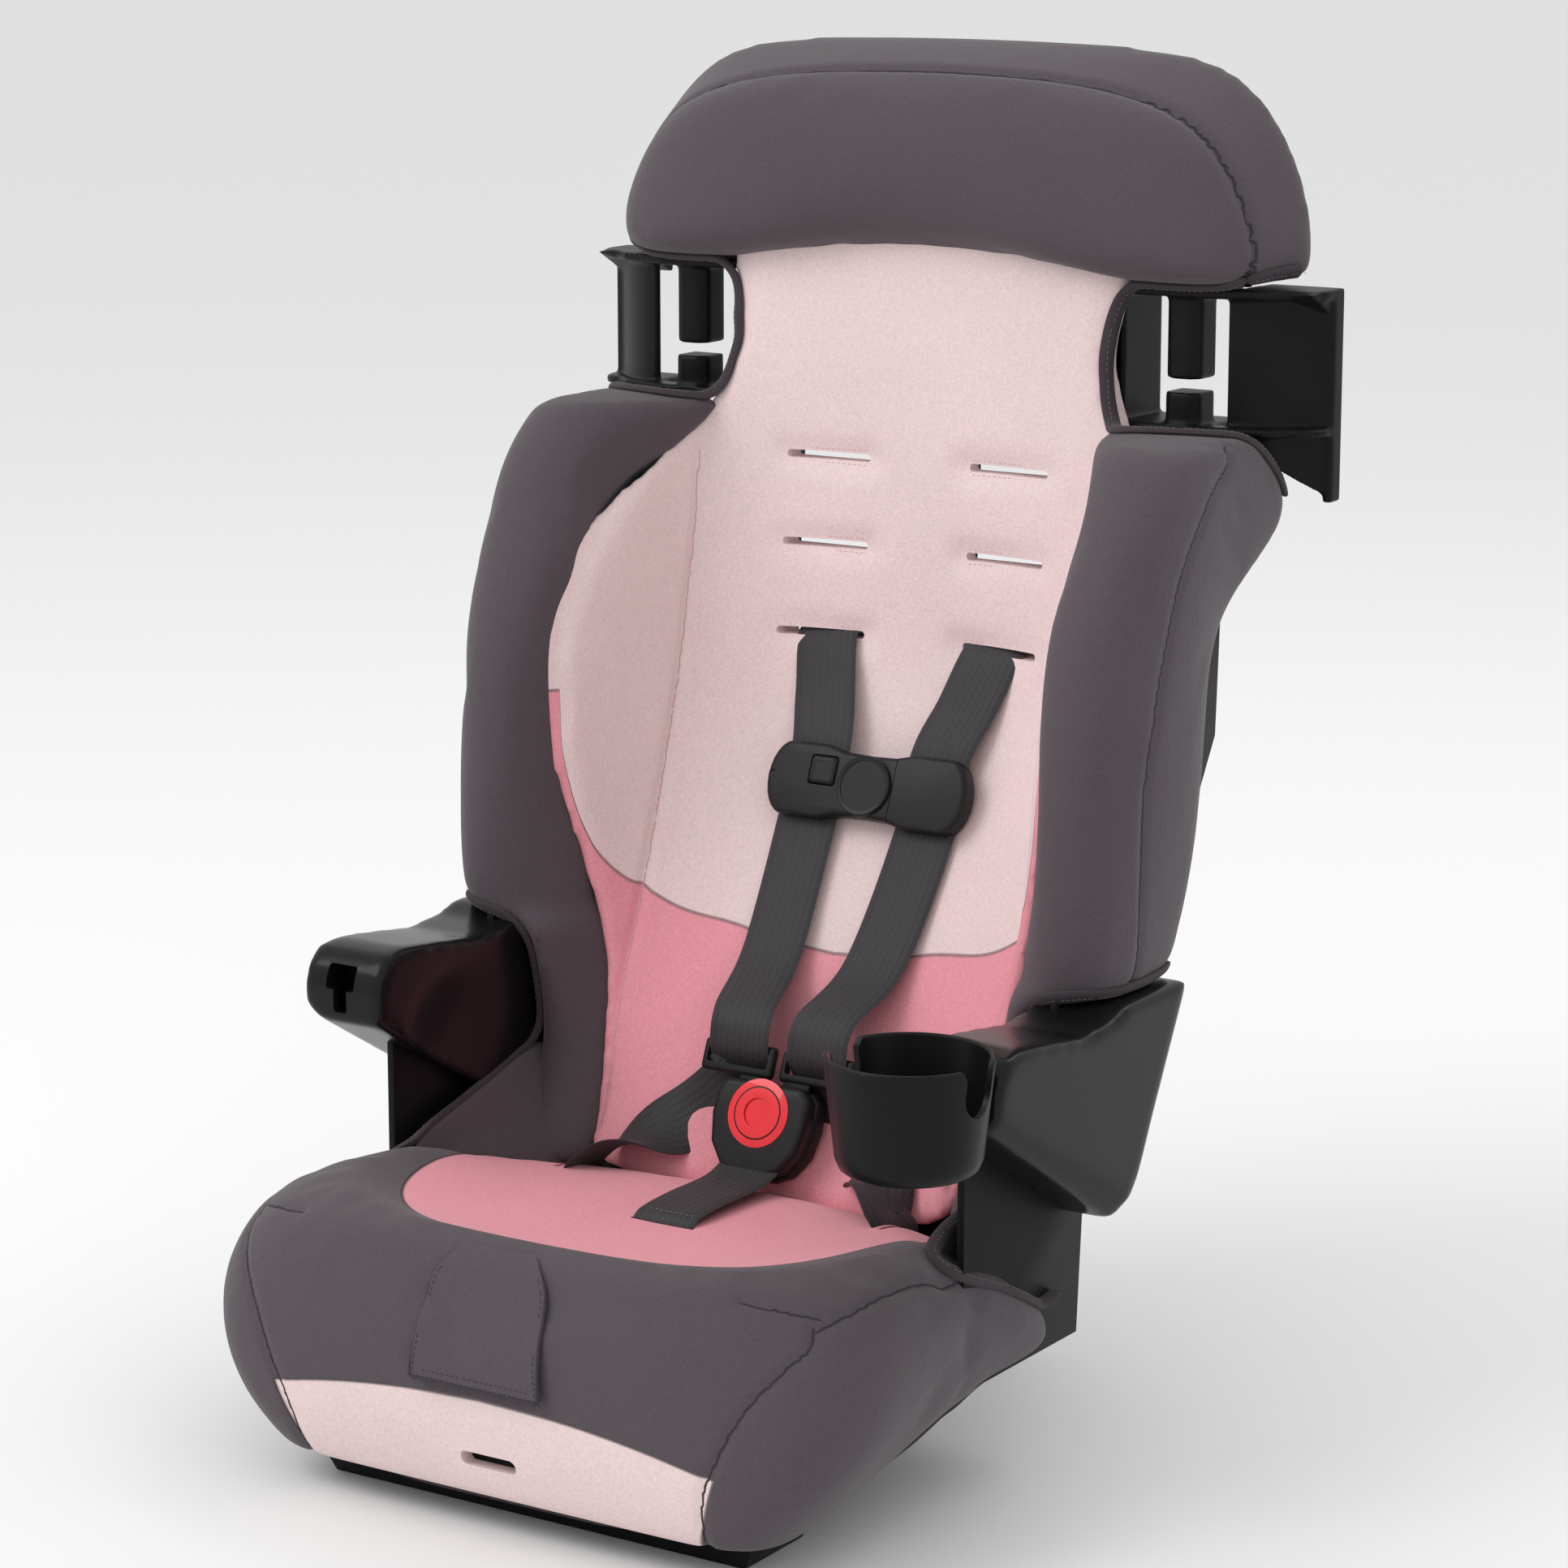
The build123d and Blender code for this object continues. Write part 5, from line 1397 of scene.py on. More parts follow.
@dataclass
class Flap:
    """The fabric flap over the harness adjuster, stitched round its edge."""

    top: float = 149.0
    low: float = 82.0
    half_top: float = 26.0
    half_low: float = 41.0
    stand: float = 2.8
    thick: float = 2.2

    def half_at(self, z: float) -> float:
        """Half width of the flap at a height.

        Args:
            z: the height.

        Returns:
            Half the width.
        """
        share = (z - self.low) / (self.top - self.low)
        corner = max(0.0, (share - 0.72) / 0.28)
        wide = self.half_low + (self.half_top + 8 - self.half_low) * share
        return wide - 14 * corner**2.2

    def build(self, ground: BVHTree) -> None:
        """Models the flap, clear of the skin that it hangs on, and its stitch rows.

        Args:
            ground: the skin of the seat's cover.
        """
        rows, columns = 22, 22
        face: list[Point] = []
        for i in range(rows + 1):
            z = self.low + (self.top - self.low) * i / rows
            for j in range(columns + 1):
                x = self.half_at(z) * (2 * j / columns - 1)
                face.append(self.on_front(ground, x, z, self.stand))
        wide = columns + 1
        quads = [(r * wide + c, r * wide + c + 1, (r + 1) * wide + c + 1, (r + 1) * wide + c)
                 for r in range(rows) for c in range(columns)]
        piece = skin("adjuster_flap_cover", face, quads)
        if sum(polygon.normal.y for polygon in piece.data.polygons) > 0:
            piece.data.flip_normals()
        apply_modifier(piece, "SMOOTH", factor=0.5, iterations=4)
        apply_modifier(piece, "SOLIDIFY", thickness=self.thick * MM, offset=1.0)
        round_edges(piece, 0.8, 2, 50)
        apply_modifier(piece, "SUBSURF", levels=1, render_levels=1)
        dress(piece, "charcoal", "flap", ["adjuster_flap"])
        outside = surface_of(piece)
        rim = [Vector(self.on_front(outside, x, z, 0.0)) for x, z in self.edge(1.6)]
        line, normals = laid_on(rim, outside, 0.0)
        dress(tube("flap_rim", line, normals, 1.1, 0.9, 8), "binding", "flap")
        for number, inset in enumerate((3.0, 6.5)):
            edge = self.edge(inset)
            path = [Vector(self.on_front(outside, x, z, 0.1)) for x, z in edge]
            line, normals = laid_on(path, outside, 0.1)
            dress(stitches(f"flap_stitches_{number}", line, normals, 3.0, 2.2, 0.3), "thread", "flap")

    def edge(self, inset: float) -> list[tuple[float, float]]:
        """A line of points inside the flap's edge; the inner row runs along the bottom only.

        Args:
            inset: how far inside the edge the line lies.

        Returns:
            Pairs of x and z.
        """
        low = self.low + inset
        bottom = [(x, low) for x in np.arange(-self.half_low + inset + 1, self.half_low - inset, 1.5)]
        if inset > 4:
            return bottom
        right = [(self.half_at(z) - inset, z) for z in np.arange(low, self.top - 8, 1.5)]
        left = [(-x, z) for x, z in reversed(right)]
        return left + bottom + right

    @staticmethod
    def on_front(ground: BVHTree, x: float, z: float, stand: float) -> Point:
        """The place in front of a skin at an x and z.

        Args:
            ground: the skin.
            x: the place across.
            z: its height.
            stand: how far off the skin it lies.

        Returns:
            The place.
        """
        start = Vector((x, AHEAD, z + 10)) * MM
        spot, normal, _, _ = ground.ray_cast(start, Vector((0, 1, -0.12)).normalized())
        if spot is None:
            return (x, FRONT, z)
        spot = spot / MM + normal * stand
        return (x, spot.y, z)


# ------------------------------------------------------------------ webbing
Station = tuple[Point, Point]


@dataclass
class Strap:
    """A length of flat webbing through stations of a middle point and a width direction."""

    name: str
    stations: list[Station]
    body: str | tuple[str, str] = "seat"
    stands_for: tuple[str, ...] = ()
    turns: tuple[Point, Point] | None = None
    wide: float = 38.0
    thick: float = 1.6
    pitch: float = 4.0  # how far its cross sections are apart

    def build(self) -> bpy.types.Object:
        """Models the webbing with rounded edges and a UV map along it, in metres.

        Returns:
            The webbing's mesh.
        """
        middles = spline([spot for spot, _ in self.stations], self.pitch)
        lengths = np.cumsum([0.0] + [(b - a).length for a, b in zip(middles, middles[1:])])
        widths = self.matched(len(middles))
        half, thin = self.wide / 2, self.thick / 2
        profile = ((-1.0, 0.0), (-0.96, 0.8), (-0.5, 1.0), (0.0, 1.0), (0.5, 1.0), (0.96, 0.8), (1.0, 0.0),
                   (0.96, -0.8), (0.5, -1.0), (0.0, -1.0), (-0.5, -1.0), (-0.96, -0.8))
        rings: list[Ring] = []
        for i, spot in enumerate(middles):
            ahead = (middles[min(i + 1, len(middles) - 1)] - middles[max(i - 1, 0)]).normalized()
            out = ahead.cross(widths[i]).normalized()
            across = out.cross(ahead)
            rings.append([tuple(spot + across * half * a + out * thin * b) for a, b in profile])
        piece = loft(self.name, rings)
        layer = piece.data.uv_layers.new(name="UVMap")
        for loop in piece.data.loops:
            ring, k = divmod(loop.vertex_index, len(profile))
            layer.data[loop.index].uv = ((profile[k][0] + 1) / 2, lengths[ring] * MM)
        if isinstance(self.body, str):
            return dress(piece, "webbing", self.body, self.stands_for, 50)
        first, last = (Vector(spot) * MM for spot in self.turns)
        dress(piece, "webbing", "", self.stands_for, 50)
        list(self.body)
        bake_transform(piece)
        return piece

    def matched(self, count: int) -> list[Vector]:
        """The width directions, one for each point of the middle line.

        Args:
            count: how many points the line has.

        Returns:
            The directions.
        """
        spots = [Vector(spot) for spot, _ in self.stations]
        ways = []
        for a, b, (_, first), (_, second) in zip(spots, spots[1:], self.stations, self.stations[1:]):
            pieces = max(2, round((b - a).length / self.pitch))
            for i in range(pieces):
                t = i / pieces
                t = t * t * (3 - 2 * t)
                ways.append((Vector(first) * (1 - t) + Vector(second) * t).normalized())
        return [*ways, Vector(self.stations[-1][1]).normalized()][:count]


TILT = radians(22.0)  # how far the harness leans back


def leaning(origin: Point) -> Matrix:
    """Frame of a harness fitting: X across, Y up along the webbing, Z to the front.

    Args:
        origin: the fitting's middle.

    Returns:
        The frame.
    """
    turn = Matrix(((1, 0, 0), (0, sin(TILT), -cos(TILT)), (0, cos(TILT), sin(TILT)))).to_4x4()
    return Matrix.Translation(Vector(origin) * MM) @ turn


def spot_in(place: Matrix, x: float, up: float, out: float) -> Point:
    """A point of a leaning frame, in the object's millimetres."""
    return tuple((place @ (Vector((x, up, out)) * MM)) / MM)


# ------------------------------------------------------------------ harness
CLIP = leaning((0.0, 90.0, 322.0))
BUCKLE = leaning((0.0, -16.0, 151.0))


@dataclass
class Harness:
    """The five-point harness: webbing, chest clip, buckle and its tongues."""

    slot_z: float = 398.0
    strap_x: float = 54.0
    hip_x: float = 104.0
    hip_y: float = -46.0
    clip_half: float = 64.0
    clip_high: float = 42.0
    clip_thick: float = 13.0
    button_radius: float = 11.5

    def straps(self) -> None:
        """Models the two shoulder and lap straps, and the crotch strap."""
        for side in Side:
            s = side.value
            flat, lap, turned = (1.0, 0.0, 0.0), (s * 0.82, 0.0, 0.57), (0.0, 1.0, 0.0)
            back = back_y(self.slot_z)
            shoulder = [
                ((s * 46, back + 24, 384), flat), ((s * 53, back + 22.3, 393), flat),
                ((s * self.strap_x, back + 12, self.slot_z), flat),
                ((s * self.strap_x, back - 3, self.slot_z), flat),
                ((s * 46, back - 19, 368), flat), (spot_in(CLIP, s * 38.5, 22, -3), flat),
                (spot_in(CLIP, s * 38, -22, -3), flat), ((s * 33, 42, 236), flat),
                (spot_in(BUCKLE, s * 26, 64, 4.6), flat),
                (spot_in(BUCKLE, s * 25, 44, 4.6), flat), (spot_in(BUCKLE, s * 25, 38, 0), flat),
                (spot_in(BUCKLE, s * 26, 34, -5), flat),
            ]
            web = [
                (spot_in(BUCKLE, s * 26, 34, -5), flat), (spot_in(BUCKLE, s * 33, 25, -12), lap),
                (spot_in(BUCKLE, s * 60, 0, -13.9), lap), ((s * 92, -44, 131), (0.35 * s, 0.75, -0.5)),
                ((s * 101, self.hip_y, 123), turned), ((s * self.hip_x, self.hip_y, 116), turned),
                ((s * self.hip_x, self.hip_y, 90), turned),
            ]
            tongue = f"tongue_{side.word}"
            Strap(f"{side.word}_shoulder_strap", shoulder, ("seat", tongue), (f"{side.word}_harness_strap",),
                  (shoulder[6][0], shoulder[8][0])).build()
            Strap(f"{side.word}_lap_strap", web, (tongue, "seat"), turns=(web[0][0], web[4][0])).build()
        crotch = [(0, -114, 92), (0, -114, 114), (0, -113.5, 124), (0, -109, 129), (0, -84, 131),
                  (0, -52, 131), (0, -38, 133), (0, -28, 137)]
        Strap("crotch_webbing", [(spot, (1.0, 0.0, 0.0)) for spot in crotch],
              stands_for=("crotch_strap",)).build()
        row = [Vector((x, -107.5, 130.4)) for x in np.arange(-15.0, 15.5, 0.7)]
        dress(stitches("crotch_stitches", row, [Vector((0, -0.3, 1)).normalized()] * len(row), 3.2, 2.4, 0.4),
              "binding_thread")

    def clip_shell(self, name: str, low_x: float, high_x: float) -> bpy.types.Object:
        """One half of the chest clip, from its end to the seam beside the disc.

        Args:
            name: the half's name.
            low_x: where it starts.
            high_x: where it ends.

        Returns:
            The half's mesh.
        """
        half, high = self.clip_half, self.clip_high / 2
        right = [(0, -high + 3.5), (16, -high + 3), (28, -high)]
        right += [(half - 13 + 13 * sin(turn), -high * cos(turn)) for turn in np.linspace(0.1, pi - 0.1, 13)]
        right += [(28, high), (16, high - 3), (0, high - 3.5)]
        outline = right + [(-x, y) for x, y in reversed(right[1:-1])]
        piece = slab(name, outline, -self.clip_thick / 2, self.clip_thick / 2)
        round_edges(piece, 3.0, 4)
        carve(piece, box("cutter", (-200, -100, -50), (low_x, 100, 50)))
        carve(piece, box("cutter", (high_x, -100, -50), (200, 100, 50)))
        for x in (-38, 38):
            carve(piece, box("cutter", (x - 20, -100, -4.2), (x + 20, 100, -1.6)))
        return piece

    def clip(self) -> None:
        """Models the chest clip: two halves, the disc and the square release button."""
        left = self.clip_shell("clip_left_shell", -65.0, 17.5)
        button_hole = box("cutter", (-37, -2.5, 2.0), (-19, 14.5, 20.0))
        round_edges(button_hole, 2.2, 3)
        carve(left, button_hole)
        disc = drum("clip_disc", (0, 0, 4.9), 17.0, 7.8, 72)
        round_edges(disc, 1.3, 3)
        dish(disc, lambda spot, normal: normal.z > 0.9 and spot.z > 8, 2.0, 0.9)
        fuse(left, disc)
        carve(left, drum("cutter", (-60.0, 0, 6.8), 3.0, 3.0, 24))
        settle(left, CLIP)
        dress(left, "buckle", "seat", ["clip_left"])
        right = self.clip_shell("clip_right_shell", 17.9, 65.0)
        carve(right, box("cutter", (17.0, -12.5, -1.4), (18.4, 12.5, 1.4)))
        settle(right, CLIP)
        dress(right, "buckle", "clip_half_right", ["clip_right"])
        button = box("clip_release_button", (-36.4, -1.9, 1.6), (-19.6, 13.9, 7.9))
        round_edges(button, 2.0, 4)
        dish(button, lambda spot, normal: normal.z > 0.95, 1.6, 0.5)
        settle(button, CLIP)
        dress(button, "buckle", "clip_release", ["clip_button"])

    def buckle(self) -> None:
        """Models the buckle's two shells and the round red button."""
        shield = [(-24, 26), (-29, 20), (-30, 6), (-27, -10), (-19, -21), (-8, -26), (8, -26), (19, -21),
                  (27, -10), (30, 6), (29, 20), (24, 26)]
        front = slab("buckle_front_shell", shield, 0.2, 11.0)
        round_edges(front, 3.4, 5, 50)
        carve(front, box("cutter", (-23.5, 14, -1), (23.5, 60, 3.0)))
        carve(front, drum("cutter", (0, 9, 9), self.button_radius + 0.6, 12, 72))
        collar = drum("collar", (0, 9, 10.6), self.button_radius + 3.6, 3.0, 72)
        round_edges(collar, 0.9, 3)
        carve(collar, drum("cutter", (0, 9, 10), self.button_radius + 0.6, 20, 72))
        fuse(front, collar)
        settle(front, BUCKLE)
        dress(front, "buckle", "seat", ["buckle_front"])
        rear = slab("buckle_rear_shell", shield, -11.0, -0.2)
        round_edges(rear, 2.4, 4, 50)
        carve(rear, box("cutter", (-23.5, 14, -3.0), (23.5, 60, 1)))
        settle(rear, BUCKLE)
        dress(rear, "buckle", "seat", ["buckle_back"])
        button = drum("red_release_button", (0, 9, 8.4), self.button_radius, 7.2, 72)
        round_edges(button, 1.6, 5)
        choose_faces(button, lambda spot, normal: normal.z > 0.95)
        bpy.ops.mesh.inset(thickness=2.2 * MM, depth=0.0)
        bpy.ops.mesh.inset(thickness=3.0 * MM, depth=-0.7 * MM)
        bpy.ops.object.mode_set(mode="OBJECT")
        settle(button, BUCKLE)
        dress(button, "red", "release_button", ["buckle_button"])

    def tongues(self) -> None:
        """Models the two tongues, each a blade with a loop for the webbing."""
        for side in Side:
            s = side.value
            low_x, high_x = sorted((s * 2.4, s * 48.0))
            outline = [(low_x, 28.5), (high_x, 28.5), (high_x, 46), (low_x, 46)]
            loop = slab(f"{side.word}_tongue_loop", outline, -3.0, 3.0)
            round_edges(loop, 2.4, 4, 60)
            window = box("cutter", (low_x + 3.4, 33, -10), (high_x - 3.4, 42, 10))
            round_edges(window, 1.5, 3)
            carve(loop, window)
            blade_low, blade_high = sorted((s * 5.6, s * 22.4))
            blade = box("blade", (blade_low, 15.5, -1.5), (blade_high, 29.5, 1.5))
            round_edges(blade, 0.8, 2)
            fuse(loop, blade)
            settle(loop, BUCKLE)
            dress(loop, "buckle", f"tongue_{side.word}", [f"{side.word}_tongue"])


# ------------------------------------------------------------------ moulded plastic
def soften(piece: bpy.types.Object, voxel: float, rounds: int) -> None:
    """Rounds a moulding all over: an even skin of small faces, eased.

    Args:
        piece: the closed moulding.
        voxel: the size of its faces in millimetres.
        rounds: how often they are eased.
    """
    apply_modifier(piece, "REMESH", mode="VOXEL", voxel_size=voxel * MM)
    apply_modifier(piece, "SMOOTH", factor=0.5, iterations=rounds)


@dataclass
class Arm:
    """An armrest moulding: outer cheek, rolled nose with its keyhole, and a dished inner face."""

    side: Side
    outer: float = 217.5
    cheek: float = 182.5
    inner: float = 165.0
    ridge: float = 12.0
    keyhole_x: float = 192.0

    def profile(self, rear: float, lift: float = 0.0) -> list[tuple[float, float]]:
        """The side outline as (y, z), cut off at a rear y, its lower edge raised by a lift.

        Args:
            rear: the rear end's y.
            lift: how far the lower edge is raised.

        Returns:
            The outline's corners.
        """
        top = [(-139.5, 213 + lift * 0.7), (-140.0, 232), (-136, 243), (-128, 250), (-114, 252), (-86, 249),
               (-50, 244), (-22, 246), (-6, 251), (rear, 251)]
        low = [(58, 238 + lift), (24, 176 + lift)] if rear > 30 else []
        return [*top, *low, (4 + lift * 0.3, 144 + lift), (-6 + lift * 0.3, 134 + lift)]

    def build(self) -> None:
        """Models the armrest in place."""
        rings = []
        for x, lift in ((self.cheek, 0.0), (self.outer - 10, 0.0), (self.outer, self.ridge)):
            rings.append([(x, y, z) for y, z in self.profile(58, lift)])
        piece = loft(f"{self.side.word}_armrest", rings)
        fuse(piece, slab("inner", self.profile(5), self.inner, self.cheek + 4, "X"))
        soften(piece, 2.4, 20)
        for vertex in piece.data.vertices:
            spot = vertex.co / MM
            reach = ((spot.y + 66) / 60) ** 2 + ((spot.z - 198) / 44) ** 2
            if spot.x < 178 and reach < 1:
                vertex.co.x += 6.0 * MM * (1 - reach) ** 2
        carve(piece, box("cutter", (181.5, -134.6, 212), (202.5, -118, 244)))
        for wide, low, high in ((4.4, 217.6, 231.0), (9.4, 230.0, 243.4)):
            hole = box("cutter", (self.keyhole_x - wide, -150, low), (self.keyhole_x + wide, -126, high))
            round_edges(hole, 1.6, 3)
            carve(piece, hole)
        if self.side is Side.LEFT:
            piece.data.transform(Matrix.Diagonal((-1, 1, 1, 1)))
            piece.data.flip_normals()
        dress(piece, "arm", "seat", [f"{self.side.word}_arm"], 60)


MERGE, FLAT = 0.02 * MM, radians(1.0)  # when points are one, and faces lie in one plane


def node_copy(node: str, name: str) -> bpy.types.Object:
    """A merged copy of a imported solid, to be worked on as a new piece.

    Args:
        node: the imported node.
        name: the new piece's name.

    Returns:
        The new piece.
    """
    source = bpy.data.objects[node]
    piece = source.copy()
    piece.data = source.data.copy()
    piece.name = name
    bpy.context.scene.collection.objects.link(piece)
    solo(piece)
    bpy.ops.object.mode_set(mode="EDIT")
    bpy.ops.mesh.select_all(action="SELECT")
    bpy.ops.mesh.remove_doubles(threshold=MERGE)
    bpy.ops.mesh.dissolve_limited(angle_limit=FLAT)
    bpy.ops.object.mode_set(mode="OBJECT")
    return piece


@dataclass
class BeltGuide:
    """A belt guide at shoulder height: two shelves, a hook, a stub and a dished outer wall."""

    side: Side
    low: float = 524.0
    high: float = 602.0
    shelf: float = 5.0
    inner: float = 124.0
    outer: float = 232.0
    front: float = 146.0
    rear: float = 193.0
    hem: float = 488.0
    hook: Point = (158.0, 154.0, 553.0)
    stub: float = 546.0

    def build(self) -> None:
        """Models the guide as a right-hand moulding, softens it and mirrors it for the left."""
        piece = self.wall()
        for low in (self.low, self.high - self.shelf):
            fuse(piece, self.shelf_at(low))
        cheek = [(self.inner - 5, self.front + 4), (self.inner - 1.5, self.front + 4),
                 (self.inner - 1.5, self.rear), (self.inner - 5, self.rear)]
        fuse(piece, slab("cheek", cheek, self.low, self.high))
        ledge = [(self.rear - 13, self.high - 1), (self.front + 12, self.high - 1),
                 (self.rear - 13, self.high - 13)]
        fuse(piece, slab("ledge", ledge, 190, self.outer - 2, "X"))
        x, y, tip = self.hook
        fuse(piece, self.finger("hook", x, y, tip, self.high - 1))
        fuse(piece, self.finger("stub", x, y - 1, self.low + 1, self.stub))
        soften(piece, 1.3, 7)
        if self.side is Side.LEFT:
            piece.data.transform(Matrix.Diagonal((-1, 1, 1, 1)))
            piece.data.flip_normals()
        piece.name = f"{self.side.word}_shoulder_guide"
        dress(piece, "shell", "seat", [f"{self.side.word}_belt_guide"], 60)

    def wall(self) -> bpy.types.Object:
        """The outer wall: a curved web, dished between its rolled rims, with a tail to the hem.

        Returns:
            The wall's mesh.
        """
        rings: list[Ring] = []
        steps = 14
        for k in range(steps + 1):
            share = k / steps
            x = 184 + (self.outer - 184) * share
            y = self.front + 6 + 34 * share**1.7
            thick = 4.0
            low = self.low + 1 - (self.low - self.hem) * share
            rings.append([(x, y, low), (x, y, self.high - 1), (x - thick * 0.4, y + thick, self.high - 1),
                          (x - thick * 0.4, y + thick, low)])
        piece = loft("wall", rings)
        rim = [(self.outer - 5, 180), (self.outer, 181), (self.outer, self.rear), (self.outer - 5, self.rear)]
        fuse(piece, slab("rim", rim, self.hem, self.high - 1))
        return piece

    def shelf_at(self, low: float) -> bpy.types.Object:
        """A shelf with a rounded front corner, reaching from the neck to the outer wall.

        Args:
            low: its underside's height.

        Returns:
            The shelf's mesh.
        """
        corner = [(self.outer - 16 + 16 * sin(turn), self.front + 30 - 16 * cos(turn))
                  for turn in np.linspace(0, pi / 2, 7)]
        outline = [(self.inner, self.front - 2), (176, self.front - 2), (206, self.front + 6), *corner,
                   (self.outer, self.rear), (188, self.rear), (186, 162), (174, 158), (172, self.rear),
                   (self.inner, self.rear)]
        return slab("shelf", outline, low, low + self.shelf)

    def finger(self, name: str, x: float, y: float, low: float, high: float) -> bpy.types.Object:
        """A rounded finger of the belt's gate, open towards the rear.

        Args:
            name: the finger's name.
            x: its middle across.
            y: its front's depth.
            low: its lower end.
            high: its upper end.

        Returns:
            The finger's mesh.
        """
        half, deep = 10.5, 15.0
        outline = [(x - half, y + deep), (x - half, y - 2), (x - half + 5, y - 7), (x + half - 5, y - 7),
                   (x + half, y - 2), (x + half, y + deep)]
        return slab(name, outline, low, high)


@dataclass
class CupHolder:
    """The hanging cup holder with its notched rim and T lug."""

    centre: tuple[float, float] = (192.0, -182.0)
    radius: float = 42.0
    wall: float = 3.0
    low: float = 203.0
    high: float = 262.0

    def build(self) -> None:
        """Models the cup by spinning its section, then cutting the notch and adding the lug."""
        r, w, low, high = self.radius, self.wall, self.low, self.high
        foot = r - 5.5
        profile = [(foot - 9, low), (foot - 5, low + 0.8), (foot - 2, low + 3), (foot, low + 8),
                   (foot + 0.6, low + 14),
                   (r - 0.2, high - 3), (r, high - 0.9), (r - 0.9, high), (r - w + 0.9, high),
                   (r - w, high - 0.9), (r - w - 0.2, high - 3), (foot - w + 0.6, low + 14),
                   (foot - w, low + 8),
                   (foot - w - 3, low + w + 1), (foot - 9, low + w)]
        sides = 72
        x, y = self.centre
        turns = [2 * pi * k / sides for k in range(sides)]
        rings = [[(x + radius * cos(turn), y + radius * sin(turn), z) for turn in turns]
                 for radius, z in profile]
        piece = loft("cup_holder_body", rings)
        for side in Side:
            carve(piece, self.notch(side))
        lug_low, lug_high = self.low + 15, self.low + 27
        neck = box("neck", (x - 3.8, y + r - 4.2, lug_low), (x + 3.8, -132.2, lug_high))
        head = box("head", (x - 9.0, -133.4, lug_low), (x + 9.0, -130.9, lug_high))
        round_edges(head, 0.6, 2)
        fuse(neck, head)
        fuse(piece, neck)
        dress(piece, "cup", "cup", ["cup_holder"], 35)

    def notch(self, side: Side) -> bpy.types.Object:
        """The cutter for the rounded notch in one side of the rim.

        Args:
            side: which side of the rim.

        Returns:
            The cutter.
        """
        half, deep = 12.0, 26.0
        x, y = self.centre
        round_z = self.high - deep + half
        turns = [pi * k / 12 for k in range(13)]
        outline = [(y - half - 3, self.high + 5), (y - half - 3, self.high), (y - half, self.high - 5)]
        outline += [(y - half * cos(turn), round_z - half * sin(turn)) for turn in turns]
        outline += [(y + half, self.high - 5), (y + half + 3, self.high), (y + half + 3, self.high + 5)]
        near, far = sorted((x + side.value * 10, x + side.value * 60))
        return slab("cutter", outline, near, far, "X")


# ------------------------------------------------------------------ stage and main
KEPT_NODES = {"slit_bar": "shell", "strap_splitter": "steel", "adjuster_body": "steel",
              "adjuster_pin": "steel", "adjuster_lever": "steel", "adjuster_spring": "steel",
              "button_spring": "steel", "crotch_anchor": "steel", "left_hip_anchor": "steel",
              "right_hip_anchor": "steel", "anchor_screws": "steel", "adjuster_strap": "pull_strap"}


@dataclass
class Shell:
    """The one-piece shell, with softened edges and its head panel tucked inside the hood."""

    soft: float = 0.8
    tuck: float = 9.0

    def build(self, hood: HeadHood) -> None:
        """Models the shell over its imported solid.

        Args:
            hood: the head pad that its upper corners stay inside.
        """
        piece = node_copy("seat_shell", "moulded_shell_body")
        for side in Side:
            lower = self.tuck * 0.6
            arch = [(side.value * (front - self.tuck), z - lower) for z, front, _ in hood.arch[1:-1]]
            outline = [*arch, (0, hood.arch[-1][0] - lower), (0, 760), (side.value * 260, 760),
                       (side.value * 260, hood.arch[1][0])]
            carve(piece, slab("cutter", outline, 120, 200, "Y"))
        round_edges(piece, self.soft, 2, 40)
        dress(piece, "shell", "seat", ["seat_shell"], 35)


def finish_nodes() -> None:
    """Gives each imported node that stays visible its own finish."""
    for node, finish in KEPT_NODES.items():
        piece = bpy.data.objects[node]
        piece.data.materials.clear()
        piece.data.materials.append(finish_of(finish))
        smooth(piece, 35)
        log.info("%s keeps its packed shape, %s", node, finish)


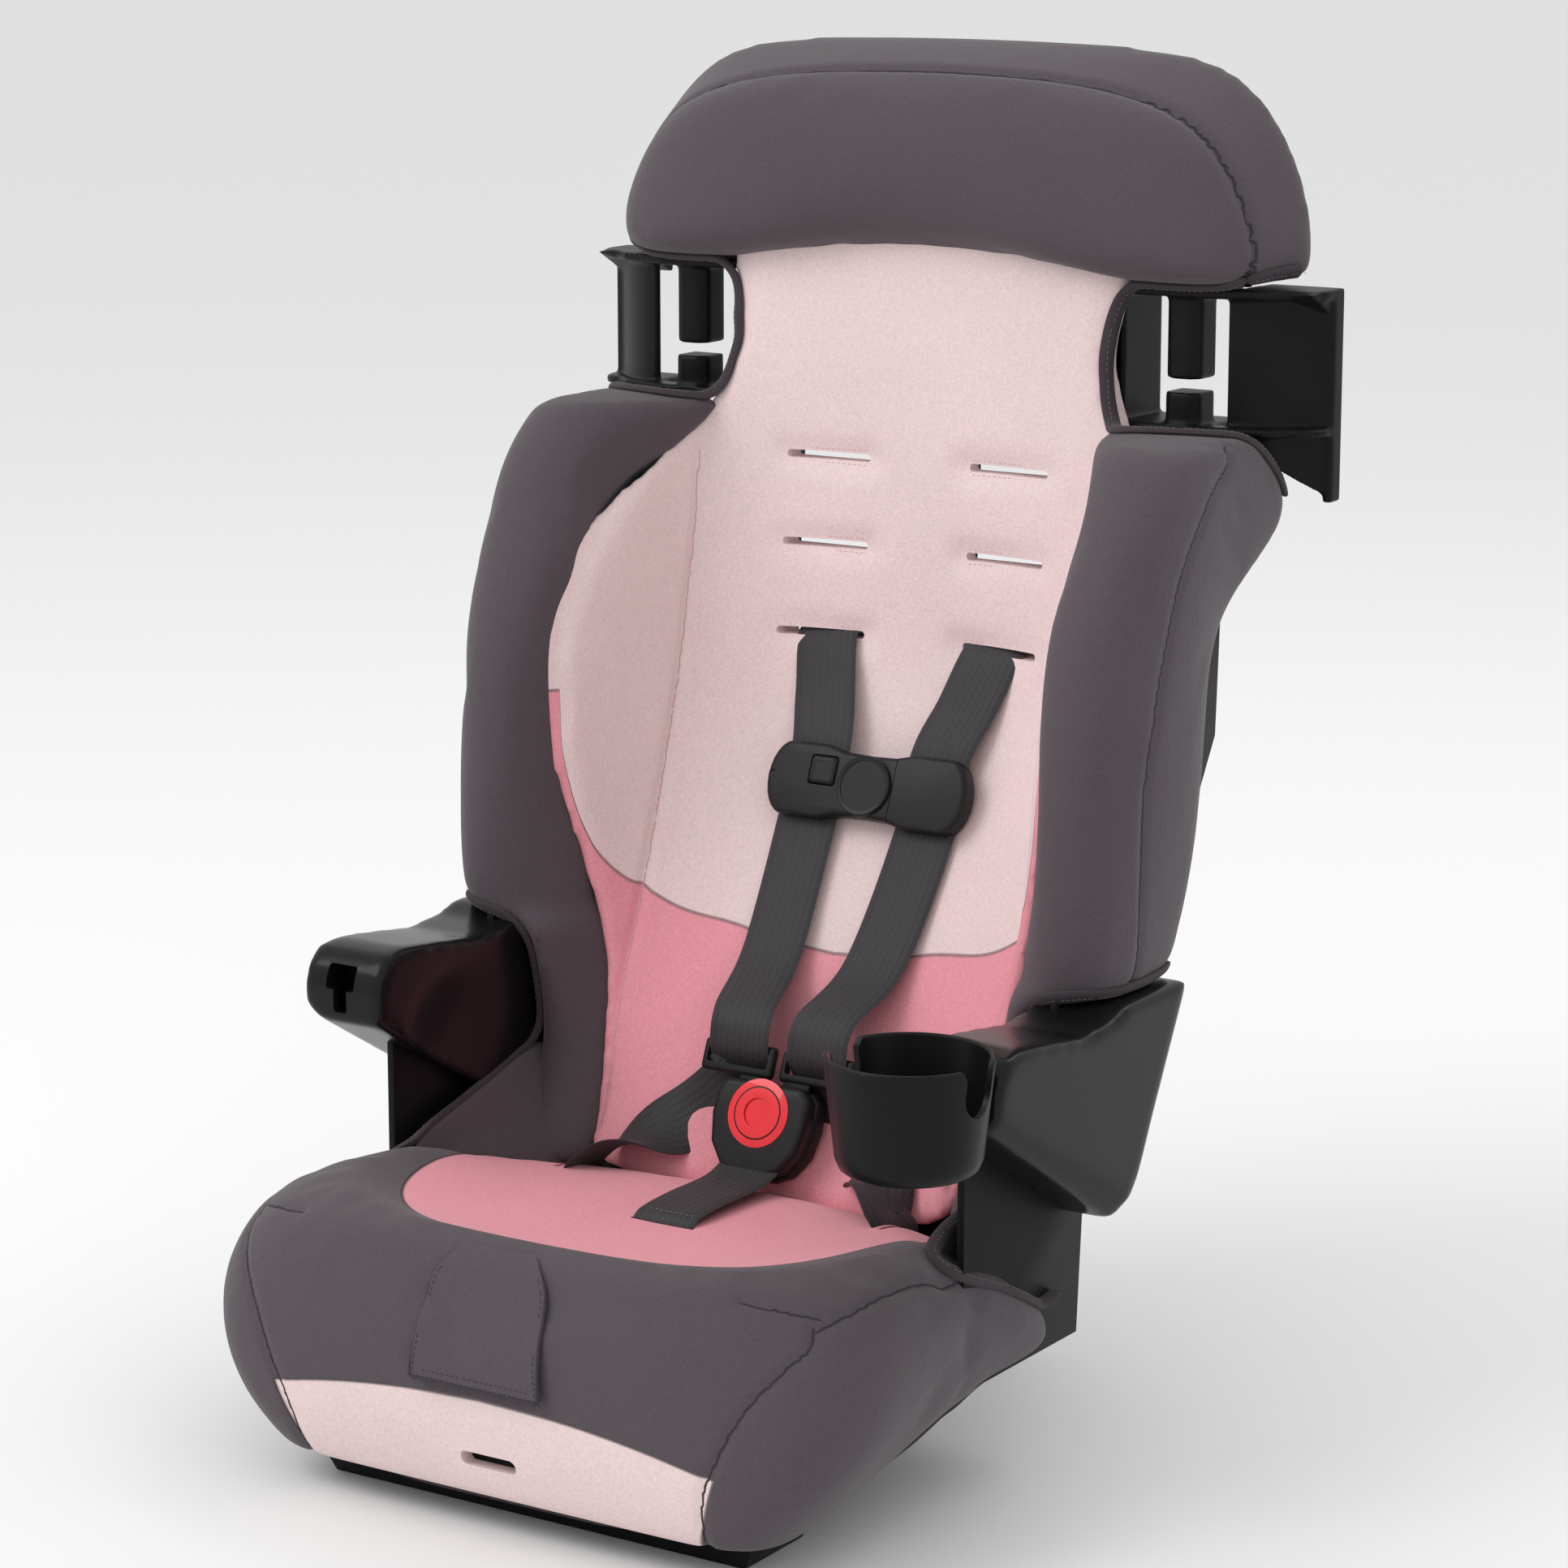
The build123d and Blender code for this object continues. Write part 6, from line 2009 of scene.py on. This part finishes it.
@dataclass
class Studio:
    """Pale floor, soft lights and the camera."""

    azimuth: float = 32.92
    elevation: float = 12.0
    lens: float = 104.35
    position: Point = (1293.1, -1994.4, 845.9)
    lights: tuple[tuple[Point, float, float], ...] = (
        ((-1.7, -2.0, 2.7), 40.0, 1.8),
        ((2.4, -1.6, 1.7), 2.0, 1.4),
        ((0.6, 1.6, 2.6), 14.0, 1.6),
    )

    def build(self) -> None:
        """Sets up floor, world, lights and camera."""
        self.floor()
        self.world()
        for number, (place, power, size) in enumerate(self.lights):
            self.light(f"softbox_{number}", Vector(place), power, size)
        self.camera()

    def floor(self) -> None:
        """A pale floor that runs far past the view."""
        bpy.ops.object.select_all(action="DESELECT")
        bpy.ops.mesh.primitive_plane_add(size=80, location=(0, 0, -0.0004))
        floor = settle(bpy.context.object)
        floor.name = "studio_floor"
        g = Graph("pale_floor")
        g.shader.inputs["Base Color"].default_value = (0.86, 0.86, 0.86, 1)
        g.shader.inputs["Roughness"].default_value = 0.9
        floor.data.materials.append(g.material)

    def world(self) -> None:
        """An even, nearly white sky."""
        world = bpy.data.worlds.new("studio_sky")
        world.use_nodes = True
        back = world.node_tree.nodes["Background"]
        back.inputs["Color"].default_value = (1, 1, 1, 1)
        back.inputs["Strength"].default_value = 0.86
        bpy.context.scene.world = world
        bpy.context.scene.view_settings.view_transform = "Standard"

    def light(self, name: str, place: Vector, power: float, size: float) -> None:
        """One square soft light, aimed at the middle of the seat.

        Args:
            name: the lamp's name.
            place: where it hangs, in metres.
            power: its watts.
            size: its width in metres.
        """
        data = bpy.data.lights.new(name, "AREA")
        data.energy, data.size = power, size
        lamp = bpy.data.objects.new(name, data)
        lamp.location = place
        lamp.rotation_euler = (Vector((0, 0, 0.36)) - place).to_track_quat("-Z", "Y").to_euler()
        bpy.context.scene.collection.objects.link(lamp)

    def camera(self) -> None:
        """The camera, by its azimuth and elevation about the seat."""
        a, e = radians(self.azimuth), radians(self.elevation)
        right = Vector((cos(a), sin(a), 0))
        up = Vector((-sin(a) * sin(e), cos(a) * sin(e), cos(e)))
        back = Vector((sin(a) * cos(e), -cos(a) * cos(e), sin(e)))
        turn = Matrix((right, up, back)).transposed().to_4x4()
        data = bpy.data.cameras.new("studio_camera")
        data.lens, data.sensor_width = self.lens, 36
        camera = bpy.data.objects.new("studio_camera", data)
        camera.matrix_world = Matrix.Translation(Vector(self.position) * MM) @ turn
        bpy.context.scene.collection.objects.link(camera)
        bpy.context.scene.camera = camera


def main() -> None:
    """Builds the whole seat in order."""
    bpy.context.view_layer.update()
    studio = Studio()
    studio.build()
    back = BackCover()
    padded = [back.build()]
    back.sew(padded[0])
    for side in Side:
        bolster = Bolster(side)
        padded += [bolster.build(), bolster.flank()]
    cover = SeatCover()
    seat = cover.build()
    hood = HeadHood()
    padded += [hood.build(), seat]
    Shell().build(hood)
    grounds = {piece.name: surface_of(piece) for piece in padded}
    bindings = Bindings()
    bindings.build(grounds)
    bindings.hem(cover, grounds[seat.name])
    Flap().build(grounds[seat.name])
    for side in Side:
        Arm(side).build()
        BeltGuide(side).build()
    CupHolder().build()
    harness = Harness()
    harness.clip()
    harness.buckle()
    harness.tongues()
    harness.straps()
    finish_nodes()


if __name__ == "__main__":
    main()
